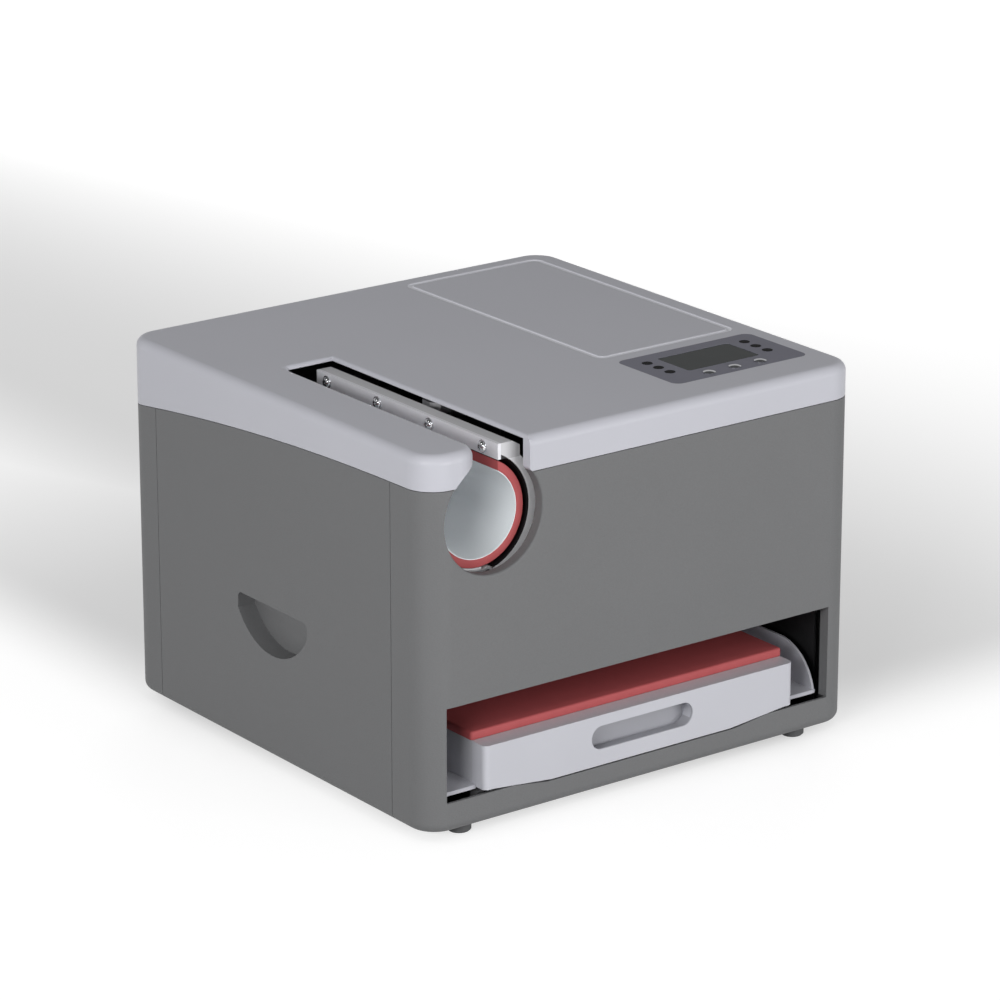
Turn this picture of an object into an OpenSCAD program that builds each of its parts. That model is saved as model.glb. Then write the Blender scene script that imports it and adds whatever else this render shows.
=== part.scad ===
// Benchtop heat press with two stations: a round clamp heater for tumblers and mugs,
// loaded through a port in the front, and a flat press over a drawer.
// X is the width, Y the depth with the front at -Y, Z the height. The origin is on
// the surface that the feet stand on, under the middle of the machine.
// A depth v behind the front face is written at(v).

/* [Overall size] */
// Width over the side panels
body_w = 440; // [405:1:540]
// Depth from the front face to the rear face
body_d = 430; // [380:1:520]
// Height from the bottom of the feet to the top of the cover
body_h = 324; // [320:1:400]
// Height of the rubber feet
foot_h = 9; // [7.5:0.5:12]

/* [Housing shell] */
// Radius of the upright corners
corner_r = 25; // [18:0.5:30]
// Radius of the fillet along the bottom edge
bottom_r = 8; // [5:0.5:10]
// Thickness of the housing panels
wall_t = 2.5; // [2:0.1:3]
// Width of the flange turned in under the housing
flange_w = 36; // [32:1:44]
// Seam between neighbouring shell parts
seam = 0.6; // [0.3:0.1:0.9]
// Depth that the front panel wraps round the sides
wrap_front = 47.5; // [36:0.5:60]
// Depth that the rear panel wraps round the sides
wrap_rear = 45.2; // [36:0.5:60]

/* [Top cover] */
// Thickness of the cover
cover_t = 2.5; // [2:0.1:3]
// Radius of the fillet round the top edge
top_r = 8; // [5:0.5:10]
// Height of the cover's skirt at the front
skirt_h = 29; // [24:0.5:36]
// How much lower the curved skirt reaches at the back
skirt_drop = 31.4; // [10:0.2:45]
// Radius of the lip on the right and back edges of the slot
slot_lip_r = 3; // [2:0.5:5]
// Distance from the bore's axis to the left wall of the slot
slot_left = 8.5; // [6:0.5:12]
// Distance from the bore's axis to the right wall of the slot
slot_right = 37.5; // [34:0.5:41]
// Material left under the rounded lips of the slot
rim_t = 0.4; // [0.3:0.1:1]
// Radius of the skirt's round end beside the slot
slot_end_r = 20; // [12:0.5:24]
// Depth of the skirt's return at the right side of the slot
slot_return = 9; // [5:0.5:11]
// Width of the moulded groove on the cover
groove_w = 6; // [4:0.1:7.5]
// Depth of the moulded groove
groove_d = 1.2; // [0.8:0.1:1.6]

/* [Round heater station] */
// Radius of the lined bore that takes the tumbler
bore_r = 36.8; // [30:0.1:44.5]
// Length of the heater band
band_len = 249; // [200:1:270]
// Depth of the band's front end behind the front face
band_front = 18; // [15:0.5:24]
// Thickness of the steel liner in the bore
liner_t = 0.6; // [0.4:0.1:1]
// Thickness of the silicone heater band
band_t = 6.9; // [5:0.1:9]
// Half width of the gap in the band, for a mug's handle
split_half = 19.5; // [15:0.5:22]
// Thickness of the fixed half of the clamp
cradle_t = 8.4; // [6:0.1:11]
// Thickness of the moving half of the clamp
jaw_t = 8.6; // [6:0.1:11]
// Gap between the band and the open jaw
jaw_open = 5; // [3.5:0.1:6.5]
// Gap that is left when the jaw is closed
jaw_rest_gap = 0.5; // [0.3:0.1:1]
// Height of the clamp heads above the band
head_h = 13.2; // [10:0.2:16]
// Distance from the cover's top down to the clamp heads
head_drop = 7; // [6:0.5:10]
// Space from the housing's side to the fixed half of the clamp
cradle_side_gap = 10.5; // [8:0.5:20]
// Angle of the hinge pin round the bore
pin_angle = -79; // [-90:1:-70]
// Radius of the hinge pin
pin_r = 2.5; // [2:0.1:3]
// Radius of the hinge knuckles
knuckle_r = 5; // [4.2:0.1:5.4]
// Number of knuckles along the hinge
knuckle_n = 5; // [3:2:9]
// Width of the port beyond the band
port_gap = 3.2; // [2.5:0.1:5]
// Sideways offset of the port from the bore
port_dx = 2.7; // [0:0.1:3]
// Upward offset of the port from the bore
port_dz = 2.2; // [0:0.1:3]
// Depth of the port's collar
port_depth = 10; // [6:0.5:12]
// Clip screws along the clamp head
clip_n = 4; // [3:1:6]
// Radius of the flanges under the clip screws' heads
clip_head_r = 5.6; // [4.6:0.1:6.8]

/* [Clamp drive] */
// Depth of the clamp drive's axis behind the front face
drive_v = 144; // [120:1:180]
// Length of the pusher
pusher_len = 36; // [30:1:44]
// Width of the pusher
pusher_w = 24; // [18:1:30]
// Height of the pusher
pusher_h = 9.5; // [9:0.1:10]
// Radius of the clamp screw
clamp_screw_r = 3; // [2.5:0.1:3.5]

/* [Drawer bay] */
// Sideways offset of the bay from the middle
bay_x = -3.3; // [-8:0.1:8]
// Space from the bay's sides to the housing's sides
bay_side = 23; // [20:0.5:32]
// Height of the sill over the bottom of the housing
sill_h = 25.5; // [25:0.5:33]
// Height of the bay opening over the sill
bay_h = 80.5; // [74:0.5:92]
// Dip in the middle of the sill
sill_dip = 4.7; // [2:0.1:5]
// Depth of the returns at the sides and top of the bay opening
bay_return = 10; // [6:0.5:10.5]

/* [Drawer] */
// Clearance from the tray to the sides of the bay
tray_gap = 2.5; // [1.5:0.1:4]
// Thickness of the tray's floor
tray_t = 3.2; // [2.4:0.1:4]
// Height of the tray's side walls over its underside
tray_h = 39; // [34:0.5:42]
// Space from the tray's back to the housing's rear face
tray_back_gap = 58; // [50:1:80]
// Distance from the tray's sides to the drawer front's ends
front_inset = 34.5; // [20:0.5:50]
// Thickness of the drawer front
front_t = 17; // [14:0.5:20]
// Length of the finger pocket
pocket_len = 105; // [80:1:150]
// Height of the finger pocket
pocket_h = 20.2; // [17:0.1:24]
// Space from the pad's back to the tray's back
pad_back_gap = 55; // [40:1:80]
// Thickness of the silicone pad
pad_t = 8; // [6:0.5:10]
// Overhang of the pad past the table
pad_over = 1; // [0:0.1:2]
// Radius of the guide rods
rod_r = 6; // [5:0.1:7]
// Distance of the guide rods from the bay's sides
rod_side = 47; // [36:1:57]
// Height of the guide rods over the base pan
rod_h = 12.5; // [12:0.1:14]
// Length of each slide bearing
bearing_len = 35; // [25:1:40]

/* [Flat press] */
// Space between the pad and the raised platen
press_gap = 26; // [22:0.5:34]
// Gap left over the pad at the end of the stroke
stroke_gap = 1; // [0.5:0.1:2]
// Thickness of the heated platen
platen_t = 16; // [12:0.5:20]
// Thickness of the insulation on the platen
insulation_t = 10; // [6:0.5:14]
// Thickness of the steel cover on the insulation
platen_cover_t = 6; // [4:0.5:8]
// Space from the platen's edges to the pad's edges
platen_inset = 6; // [4:0.5:12]
// Radius of the guide posts
post_r = 7; // [6:0.1:8]
// Gap between the guide posts and the open jaw
post_gap = 3.2; // [2:0.1:6]
// Radius of the press screw
press_screw_r = 6; // [5:0.1:7]
// Height of the press nut
nut_h = 24; // [20:1:28]
// Thickness of the bridge plate
bridge_t = 5; // [4:0.5:6]

/* [Controls] */
// Width of the control plate
plate_w = 141; // [130:1:155]
// Depth of the control plate
plate_d = 80; // [74:1:90]
// Distance from the control plate to the front face
plate_front = 39; // [36:0.5:44]
// Distance from the control plate to the right side
plate_side = 20; // [16:0.5:28]
// Thickness of the control plate
plate_t = 1.6; // [1.2:0.1:1.8]
// Width of the display window
window_w = 75.6; // [60:0.2:84]
// Depth of the display window
window_d = 42.7; // [34:0.1:44]
// Radius of the round keys
key_r = 5.3; // [4:0.1:6]
// Spacing of the round keys
key_pitch = 27; // [22:0.5:32]
// Travel of the keys
key_travel = 1.2; // [0.8:0.1:1.5]
// Radius of the flat indicator lenses
lens_r = 4.5; // [3:0.1:5]

/* [Sides and back] */
// Half length of the side grips
grip_half = 50; // [40:1:58]
// Height of the side grips
grip_h = 42.5; // [36:0.5:48]
// Depth of the side grips
grip_d = 17; // [14:0.5:18]
// Height of the side grips' top edge over the housing's bottom
grip_top = 133; // [123:1:143]
// Width of the square fan
fan_w = 80; // [60:1:92]
// Thickness of the fan
fan_t = 25; // [20:1:28]
// Radius of the panel screws
screw_r = 2; // [1.5:0.1:2.2]

/* [Hidden] */
$fn = 96;

shell_dark = "#737477";
cover_grey = "#b4b5bd";
plate_dark = "#66676d";
silicone_red = "#a8393a";
frame_black = "#26272a";
steel = "#b9bcc0";
alloy = "#a5a6ab";
board_green = "#1f5a3c";

// Clearances
fit = 0.05;
touch = 0.3;
play = 0.1;

// Housing
half_w = body_w / 2;
half_d = body_d / 2;
flat_w = body_w - 2 * corner_r;
pan_z = foot_h + wall_t;
pan_t = 2;
pan_top = pan_z + pan_t;
skirt_z = body_h - skirt_h;
skirt_low = skirt_z - skirt_drop - 6;
arc_r = (body_d * body_d + skirt_drop * skirt_drop) / (2 * skirt_drop);
foot_r = 10;
foot_x = half_w - 46;
foot_v = 20.5;

// Round station
fixed_gap = 0.2;
band_ri = bore_r + liner_t + play;
band_ro = band_ri + band_t;
cradle_ri = band_ro + fixed_gap;
cradle_ro = cradle_ri + cradle_t;
jaw_ri = band_ro + jaw_open;
jaw_ro = jaw_ri + jaw_t;
head_bot = sqrt(band_ro * band_ro - split_half * split_half) + 0.7;
head_top = head_bot + head_h;
bore_x = -half_w + cradle_side_gap + cradle_ro;
clip_t = 3;
head_right = split_half + clip_t + 18.5;
drive_rise = sqrt(jaw_ro * jaw_ro - head_right * head_right) + 3 + pusher_h / 2;
bore_z = body_h - max(head_drop + head_top, drive_rise + 9 + cover_t + 0.5);
band_back = band_front + band_len;
hinge_r = (cradle_ri + jaw_ro) / 2;
pin_dx = hinge_r * cos(pin_angle);
pin_dz = hinge_r * sin(pin_angle);
port_r = band_ro + port_gap;
port_x = bore_x + port_dx;
port_z = bore_z + port_dz;
slot_xl = bore_x - slot_left;
slot_xr = bore_x + slot_right;
slot_back = band_back + 3;
clip_pitch = (band_len - 35) / (clip_n - 1);

// Clamp drive
pusher_x = bore_x + head_right + touch;
drive_z = bore_z + drive_rise;
bracket_t = 4;
bracket_x = pusher_x + pusher_len + 18;

// Drawer bay
bay_half = half_w - bay_side;
sill_z = foot_h + sill_h;
bay_top = sill_z + bay_h;
sill_out = bay_half - 65;
sill_in = sill_out - 35;
tray_half = bay_half - tray_gap;
tray_z = sill_z + 0.8;
tray_floor = tray_z + tray_t;
tray_top = tray_z + tray_h;
tray_front = 12;
tray_back = body_d - tray_back_gap;
tray_wall = 2.2;
front_half = tray_half - front_inset;
table_half = front_half;
table_back = tray_back - pad_back_gap;
pad_top = tray_top + pad_t;
rod_x = bay_half - rod_side;
rod_z = pan_top + rod_h;
rod_first = bay_return + 1;
rod_last = body_d - 30;
rod_block = 8;
bearing_rear = tray_back - 12 - bearing_len;
bearing_front = bearing_rear - 40 - bearing_len;
drawer_travel = bearing_front - rod_first - rod_block - 1;

// Flat press
platen_z = pad_top + press_gap;
platen_top = platen_z + platen_t;
insulation_top = platen_top + insulation_t;
press_top = insulation_top + platen_cover_t;
platen_half = table_half - platen_inset;
platen_front = front_t + platen_inset;
platen_back = table_back - platen_inset;
platen_v = (platen_front + platen_back) / 2;
press_stroke = press_gap - stroke_gap;
post_x = bay_x - (bore_x + jaw_ro + post_gap + post_r);
post_v1 = platen_front + 48;
post_v2 = platen_back - 42;
bridge_z = press_top + nut_h + 16;
bridge_top = bridge_z + bridge_t;
frame_x = bay_half + wall_t + 5;
frame_t = 2;
bush_low = 6;
bush_high = 7;
post_top = bridge_top + bush_high + press_stroke + 1;

// Controls
plate_x = half_w - plate_side - plate_w / 2;
plate_v = plate_front + plate_d / 2;
plate_z = body_h - plate_t;
board_z = body_h - 18;
board_t = 1.6;
window_v = plate_front + 24 + window_d / 2;
key_v = plate_front + 11;
lens_x = window_w / 2 + 14;
lens_pitch = 14.9;
groove_x0 = half_w - plate_side - plate_w - 6;
groove_x1 = half_w - plate_side - 0.5;
groove_v0 = plate_front + plate_d + 12.5;
groove_v1 = body_d - 19;

// Back
fan_x = 60;
fan_z = skirt_z - skirt_drop - 8 - fan_w / 2;
fan_back = body_d - wall_t - touch;
service_x = half_w - 65;
service_z = foot_h + 76;
service_w = 66;
service_h = 92;
service_d = 3;

function at(v) = v - half_d;

// ---- Shared shapes ----

// Upright plate of a flat XZ outline between two depths
module slab(v0, v1) {
    translate([0, at(v1), 0])
        rotate([90, 0, 0])
            linear_extrude(height = v1 - v0) children();
}

// Plate of a flat YZ outline between two X positions
module cross(x0, x1) {
    translate([x0, 0, 0])
        rotate([90, 0, 90])
            linear_extrude(height = x1 - x0) children();
}

// Level plate of a flat XY outline between two heights
module level(z0, z1) {
    translate([0, 0, z0]) linear_extrude(height = z1 - z0) children();
}

// Cylinder along Y between two depths
module rod_y(x, z, r, v0, v1) {
    translate([x, at(v0), z]) rotate([-90, 0, 0]) cylinder(r = r, h = v1 - v0);
}

// Cylinder along X between two X positions
module rod_x_axis(v, z, r, x0, x1) {
    translate([x0, at(v), z]) rotate([0, 90, 0]) cylinder(r = r, h = x1 - x0);
}

// Upright cylinder at a depth
module post(x, v, r, z0, z1) {
    translate([x, at(v), z0]) cylinder(r = r, h = z1 - z0);
}

// Box between two corners, with depths for Y
module block(x0, x1, v0, v1, z0, z1) {
    translate([x0, at(v0), z0]) cube([x1 - x0, v1 - v0, z1 - z0]);
}

// Rectangle with round corners, centred
module rounded(w, d, r) {
    square([w - 2 * r, d], center = true);
    square([w, d - 2 * r], center = true);
    for (i = [-1, 1], j = [-1, 1])
        translate([i * (w / 2 - r), j * (d / 2 - r)]) circle(r);
}

// Slot outline with round ends, centred, long side along the first axis
module stadium(length, height) {
    square([length - height, height], center = true);
    for (i = [-1, 1])
        translate([i * (length - height) / 2, 0]) circle(height / 2);
}

// Quarter of a ring in the upper or lower right quadrant
module quarter_ring(r, t, up) {
    intersection() {
        difference() {
            circle(r);
            circle(r - t);
        }
        translate([0, up ? 0 : -r]) square([r, r]);
    }
}

// Straight stretch of a wall profile, centred, running along Y
module run(length) {
    rotate([90, 0, 0])
        linear_extrude(height = length, center = true) children();
}

// Corner stretch of a wall profile
module bend() {
    rotate_extrude(angle = 90) children();
}

// Wall profile carried along the front or the rear and round both its corners,
// with a return of the given length on each side
module wrap(back, side_len) {
    v0 = corner_r;
    rotate([0, 0, back ? 180 : 0]) {
        translate([0, at(v0), 0]) rotate([0, 0, -90]) run(flat_w) children();
        translate([flat_w / 2, at(v0), 0]) rotate([0, 0, -90]) bend() children();
        translate([-flat_w / 2, at(v0), 0]) rotate([0, 0, 180]) bend() children();
        for (s = [0, 1])
            mirror([s, 0, 0])
                translate([flat_w / 2, at(v0 + side_len / 2), 0]) run(side_len) children();
    }
}

// The region under the curved skirt line, moved up or down by a gap
module under_skirt(gap) {
    cross(-half_w - 5, half_w + 5)
        intersection() {
            translate([-half_d, skirt_z - arc_r]) circle(arc_r + gap, $fn = 720);
            translate([-half_d - 20, 0]) square([body_d + 40, body_h + 20]);
        }
}

// The region over the curved skirt line, less half a seam
module over_skirt() {
    cross(-half_w - 5, half_w + 5)
        difference() {
            translate([-half_d - 10, skirt_low - 10]) square([body_d + 20, body_h]);
            translate([-half_d, skirt_z - arc_r]) circle(arc_r - seam / 2, $fn = 720);
        }
}

// ---- Housing ----

// Panel section: upright wall with the bottom fillet
module panel_profile() {
    translate([corner_r - wall_t, foot_h + bottom_r])
        square([wall_t, skirt_z - foot_h - bottom_r + 4]);
    translate([corner_r - bottom_r, foot_h + bottom_r])
        quarter_ring(bottom_r, wall_t, false);
}

// Bottom flange of the housing between two depths
module flange(v0, v1) {
    level(foot_h, foot_h + wall_t)
        intersection() {
            difference() {
                rounded(body_w - 2 * bottom_r, body_d - 2 * bottom_r, corner_r - bottom_r);
                square([body_w - 2 * flange_w, body_d - 2 * flange_w], center = true);
            }
            translate([-half_w, at(v0)]) square([body_w, v1 - v0]);
        }
}

// Places of the feet
module each_foot() {
    for (i = [-1, 1], j = [-1, 1])
        translate([i * foot_x, j * (half_d - foot_v), 0]) children();
}

// Places of the screws that hold the panels to the base pan
module each_panel_screw() {
    for (i = [-1, 1], j = [-1, 1]) {
        translate([i * half_w / 3, j * (half_d - 24), 0]) children();
        translate([i * (half_w - 24), j * half_d / 3, 0]) children();
    }
}

// Holes through the bottom flange
module flange_holes() {
    each_foot() translate([0, 0, foot_h - 1])
        cylinder(r = foot_r + touch, h = wall_t + 2);
    each_panel_screw() translate([0, 0, foot_h - 1])
        cylinder(r = screw_r + play, h = wall_t + 2);
}

// Outline of the bay opening, grown by a margin
module bay_outline(m) {
    polygon([
        [bay_x - bay_half - m, bay_top + m],
        [bay_x - bay_half - m, sill_z - m],
        [bay_x - sill_out, sill_z - m],
        [bay_x - sill_in, sill_z - sill_dip - m],
        [bay_x + sill_in, sill_z - sill_dip - m],
        [bay_x + sill_out, sill_z - m],
        [bay_x + bay_half + m, sill_z - m],
        [bay_x + bay_half + m, bay_top + m]
    ]);
}

// Rounded edge of the port, as a cutter
module port_edge() {
    f = wall_t * 0.7;
    translate([port_x, at(0), port_z])
        rotate([-90, 0, 0])
            rotate_extrude()
                difference() {
                    translate([port_r - 1, -1]) square([f + 1, f + 1]);
                    translate([port_r + f, f]) circle(f);
                }
}

module front_panel() {
    color(shell_dark)
        difference() {
            union() {
                wrap(false, wrap_front - corner_r - seam / 2) panel_profile();
                flange(0, wrap_front - seam / 2);
                slab(wall_t, bay_return)
                    intersection() {
                        bay_outline(wall_t);
                        translate([-half_w, sill_z]) square([body_w, body_h]);
                    }
                rod_y(port_x, port_z, port_r + wall_t, wall_t, port_depth);
            }
            slab(-1, bay_return + 1) bay_outline(0);
            rod_y(port_x, port_z, port_r, -1, port_depth + 1);
            port_edge();
            flange_holes();
            over_skirt();
        }
}

// Half-moon outline of a side grip, its flat side up, centred on its length
module grip_outline(m) {
    r = 5 + m;
    side = 14;
    sag = grip_h - side;
    big = (grip_half * grip_half + sag * sag) / (2 * sag);
    top = foot_h + grip_top;
    intersection() {
        translate([0, top - grip_h + big]) circle(big + m);
        translate([-grip_half - m, top - grip_h - m])
            square([2 * (grip_half + m), sag + m]);
    }
    translate([-grip_half - m, top - side])
        square([2 * (grip_half + m), side + m - r]);
    translate([-grip_half - m + r, top - side])
        square([2 * (grip_half + m - r), side + m]);
    for (s = [-1, 1])
        translate([s * (grip_half + m - r), top + m - r]) circle(r);
}

// One side panel on the right; the left one is its mirror image
module side_panel() {
    v0 = wrap_front + seam / 2;
    v1 = body_d - wrap_rear - seam / 2;
    pocket = grip_d + 2;
    intersection() {
        difference() {
            union() {
                translate([flat_w / 2, at((v0 + v1) / 2), 0]) run(v1 - v0) panel_profile();
                intersection() {
                    flange(v0, v1);
                    translate([0, -half_d, 0]) cube([body_w, body_d, body_h]);
                }
                cross(half_w - pocket, half_w - wall_t) grip_outline(2);
            }
            cross(half_w - grip_d, half_w + 1) grip_outline(0);
            flange_holes();
        }
        under_skirt(-seam / 2);
    }
}

module side_panel_right() {
    color(shell_dark) side_panel();
}

module side_panel_left() {
    color(shell_dark) mirror([1, 0, 0]) side_panel();
}

// Rows of vent slots in the rear panel
module vent_slots() {
    for (i = [0 : 11])
        translate([-half_w + 60 + i * 12, foot_h + 138]) rotate(90) stadium(70, 5);
    for (i = [0 : 5])
        translate([half_w - 100 + i * 12, fan_z]) rotate(90) stadium(60, 5);
}

module rear_panel() {
    wrap_len = wrap_rear - corner_r - seam / 2;
    inner = body_d - wall_t;
    color(shell_dark)
        intersection() {
            difference() {
                union() {
                    wrap(true, wrap_len) panel_profile();
                    flange(body_d - wrap_rear + seam / 2, body_d);
                    slab(inner - service_d, inner)
                        translate([service_x, service_z]) square([service_w + 5, service_h + 5],
                            center = true);
                }
                slab(body_d - service_d, body_d + 1)
                    translate([service_x, service_z]) square([service_w, service_h],
                        center = true);
                slab(inner - service_d - 1, body_d + 1) {
                    translate([service_x, service_z - 22]) square([28, 21], center = true);
                    translate([service_x, service_z + 22]) square([22, 28], center = true);
                }
                rod_y(fan_x, fan_z, fan_w / 2 - 2, inner - 1, body_d + 1);
                slab(inner - 1, body_d + 1) vent_slots();
                flange_holes();
            }
            under_skirt(-seam / 2);
        }
}

module base_pan() {
    inset = bottom_r + 1;
    color(frame_black)
        difference() {
            level(pan_z, pan_top)
                difference() {
                    rounded(body_w - 2 * inset, body_d - 2 * inset, corner_r - inset);
                    for (i = [-4 : 4], j = [-1, 1])
                        translate([i * 24, at(platen_v) + j * 70]) rotate(90) stadium(60, 8);
                }
            each_panel_screw() translate([0, 0, pan_z - 1])
                cylinder(r = screw_r + play, h = pan_t + 2);
            each_foot() translate([0, 0, pan_z - 1])
                cylinder(r = screw_r + play, h = pan_t + 2);
        }
}

module panel_screws() {
    color(steel)
        each_panel_screw() {
            translate([0, 0, foot_h - 2]) cylinder(r = 2 * screw_r, h = 2);
            translate([0, 0, foot_h]) cylinder(r = screw_r, h = wall_t + pan_t + 3);
        }
}

// Foot with a chamfered tread and a recess for its screw
module feet() {
    color("#3a3b3e")
        each_foot()
            rotate_extrude()
                difference() {
                    polygon([[0, 0], [foot_r - 1.5, 0], [foot_r, 1.5], [foot_r, pan_z],
                        [0, pan_z]]);
                    translate([-1, -1]) square([2 * screw_r + 1.5, 6]);
                    translate([-1, 0]) square([screw_r + play + 1, pan_z + 1]);
                }
}

module foot_screws() {
    color(steel)
        each_foot() {
            translate([0, 0, 2.6]) cylinder(r = 2 * screw_r, h = 2.4);
            translate([0, 0, 5]) cylinder(r = screw_r, h = pan_top - 5 + 3);
        }
}

// ---- Top cover ----

module cover_profile() {
    translate([corner_r - cover_t, skirt_low])
        square([cover_t, body_h - top_r - skirt_low]);
    translate([corner_r - top_r, body_h - top_r])
        quarter_ring(top_r, cover_t, true);
}

// Cutter for a rounded edge, drawn outward from the slot's wall
module edge_cut(r) {
    difference() {
        translate([0, body_h - r]) square([r, r + 1]);
        translate([r, body_h - r]) circle(r);
    }
}

// The long slot with its rounded lips, as a cutter
module slot_cut() {
    r = slot_lip_r;
    left_end = slot_back + r - top_r;
    block(slot_xl, slot_xr, -1, slot_back, skirt_low - 1, body_h + 1);
    translate([slot_xr, at((slot_back - 1) / 2), 0]) run(slot_back + 1) edge_cut(r);
    translate([slot_xr, at(slot_back), 0]) bend() edge_cut(r);
    translate([(slot_xl + slot_xr) / 2, at(slot_back), 0])
        rotate([0, 0, 90]) run(slot_xr - slot_xl) edge_cut(r);
    translate([slot_xl, at((left_end + slot_end_r) / 2), 0])
        mirror([1, 0, 0]) run(left_end - slot_end_r) edge_cut(top_r);
    translate([slot_xl, at(left_end), 0])
        rotate([0, 0, 90]) bend() edge_cut(top_r);
}

// Round end of the skirt, turned back into the slot's left wall
module skirt_end() {
    r = slot_end_r;
    difference() {
        translate([slot_xl - r, at(r), 0])
            rotate([0, 0, -90])
                bend() {
                    translate([r - corner_r, 0]) cover_profile();
                    translate([0, body_h - cover_t]) square([r - top_r, cover_t]);
                }
        rod_y(port_x, port_z, port_r, -1, r + 1);
    }
}

// Moulded groove on the cover, as a cutter
module groove_cut() {
    g = (groove_w * groove_w / 4 + groove_d * groove_d) / (2 * groove_d);
    r = g + 3;
    z = body_h + g - groove_d;
    x0 = groove_x0 + groove_w / 2;
    x1 = groove_x1 - groove_w / 2;
    v0 = groove_v0 + groove_w / 2;
    v1 = groove_v1 - groove_w / 2;
    for (x = [x0, x1]) rod_y(x, z, g, v0 + r, v1 - r);
    for (v = [v0, v1]) rod_x_axis(v, z, g, x0 + r, x1 - r);
    for (i = [0, 1], j = [0, 1])
        translate([i == 0 ? x0 + r : x1 - r, at(j == 0 ? v0 + r : v1 - r), z])
            rotate([0, 0, i == 0 ? (j == 0 ? 180 : 90) : (j == 0 ? 270 : 0)])
                bend() translate([r, 0]) circle(g);
}

// Shell of the cover with its slot, trimmed along the skirt line
module cover_shell() {
    r = slot_lip_r;
    difference() {
        union() {
            difference() {
                union() {
                    wrap(false, half_d - corner_r) cover_profile();
                    wrap(true, half_d - corner_r) cover_profile();
                    level(body_h - cover_t, body_h)
                        rounded(body_w - 2 * top_r, body_d - 2 * top_r, corner_r - top_r);
                    block(slot_xl - top_r, slot_xl, slot_end_r, slot_back + r,
                        body_h - top_r - rim_t, body_h - cover_t);
                    block(slot_xl, slot_xr + r, top_r, slot_back + r,
                        body_h - r - rim_t, body_h - cover_t);
                    block(slot_xr, slot_xr + cover_t, cover_t / 2, slot_return,
                        skirt_low, body_h - cover_t);
                }
                block(slot_xl - slot_end_r, slot_xl + 1, -1, slot_end_r,
                    skirt_low - 1, body_h + 1);
                slot_cut();
                rod_y(port_x, port_z, port_r, -1, port_depth);
            }
            skirt_end();
        }
        under_skirt(seam / 2);
    }
}

module top_cover() {
    color(cover_grey)
        difference() {
            cover_shell();
            level(plate_z, body_h + 1)
                translate([plate_x, at(plate_v)]) rounded(plate_w, plate_d, 8);
            level(body_h - cover_t - 1, plate_z + 1)
                translate([plate_x, at(plate_v)]) rounded(plate_w - 8, plate_d - 8, 5);
            groove_cut();
        }
}

// ---- Controls ----

// Places of the six indicator lenses
module each_lens() {
    for (i = [-1, 1], j = [0 : 2])
        translate([plate_x + i * lens_x, at(window_v + 1 + (j - 1) * lens_pitch), 0])
            children();
}

// Places of the control board's posts
module each_board_post() {
    for (i = [-1, 1], j = [-1, 1])
        translate([plate_x + i * (plate_w / 2 - 10), at(plate_v) + j * (plate_d / 2 - 10), 0])
            children();
}

module control_plate() {
    color(plate_dark)
        difference() {
            union() {
                level(plate_z, body_h)
                    translate([plate_x, at(plate_v)])
                        rounded(plate_w - 2 * play, plate_d - 2 * play, 8 - play);
                each_board_post() translate([0, 0, board_z + board_t])
                    cylinder(r = 3, h = plate_z - board_z - board_t);
            }
            level(plate_z - 1, body_h + 1)
                translate([plate_x, at(window_v)])
                    rounded(window_w - 3, window_d - 3, 1.5);
            level(plate_z + 0.6, body_h + 1)
                translate([plate_x, at(window_v)]) rounded(window_w, window_d, 3);
            each_lens() translate([0, 0, plate_z - 1])
                cylinder(r = lens_r + play, h = plate_t + 2);
            for (i = [-1 : 1])
                post(plate_x + i * key_pitch, key_v, key_r + 0.25, plate_z - 1, body_h + 1);
        }
}

module display_window() {
    color("#2b2e2f", 0.8)
        level(plate_z + 0.6, body_h - 0.2)
            translate([plate_x, at(window_v)])
                rounded(window_w - 2 * play, window_d - 2 * play, 3 - play);
}

module display_module() {
    color("#3c3f40")
        difference() {
            union() {
                level(board_z + board_t, plate_z - touch)
                    translate([plate_x, at(window_v)]) rounded(window_w + 2, window_d - 4, 1);
            }
            level(plate_z - 2, plate_z)
                translate([plate_x, at(window_v)])
                    square([window_w - 8, window_d - 12], center = true);
        }
}

module indicator_lenses() {
    color("#151617")
        each_lens() translate([0, 0, plate_z - 0.4]) cylinder(r = lens_r, h = plate_t + 0.5);
}

// Domed key with a retaining flange and a stem down to its switch
module key(i) {
    dome = 14;
    rise = 2.2;
    edge = body_h + 0.5;
    sag = dome - sqrt(dome * dome - key_r * key_r);
    stem_z = board_z + board_t + 5 + key_travel;
    color("#c9cbd0")
        translate([plate_x + i * key_pitch, at(key_v), 0])
            union() {
                intersection() {
                    translate([0, 0, plate_z - 2]) cylinder(r = key_r, h = plate_t + 2 + rise);
                    translate([0, 0, edge + sag - dome]) sphere(dome, $fn = 180);
                }
                translate([0, 0, plate_z - 3.2]) cylinder(r = key_r + 1.6, h = 1.2);
                translate([0, 0, stem_z]) cylinder(r = 2, h = plate_z - 3 - stem_z);
            }
}

module key_left() {
    key(-1);
}

module key_middle() {
    key(0);
}

module key_right() {
    key(1);
}

// Board with a tactile switch under each key and a connector
module control_board() {
    color(board_green)
        union() {
            level(board_z, board_z + board_t)
                translate([plate_x, at(plate_v)]) rounded(plate_w - 12, plate_d - 12, 2);
            for (i = [-1 : 1])
                translate([plate_x + i * key_pitch, at(key_v), board_z + board_t])
                    union() {
                        translate([-3, -3, 0]) cube([6, 6, 3.5]);
                        translate([0, 0, 3.5]) cylinder(r = 1.75, h = 1.3);
                    }
            block(plate_x - 12, plate_x + 12, plate_front + plate_d - 18,
                plate_front + plate_d - 12, board_z - 7, board_z);
        }
}

// ---- Inner frame ----

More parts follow.
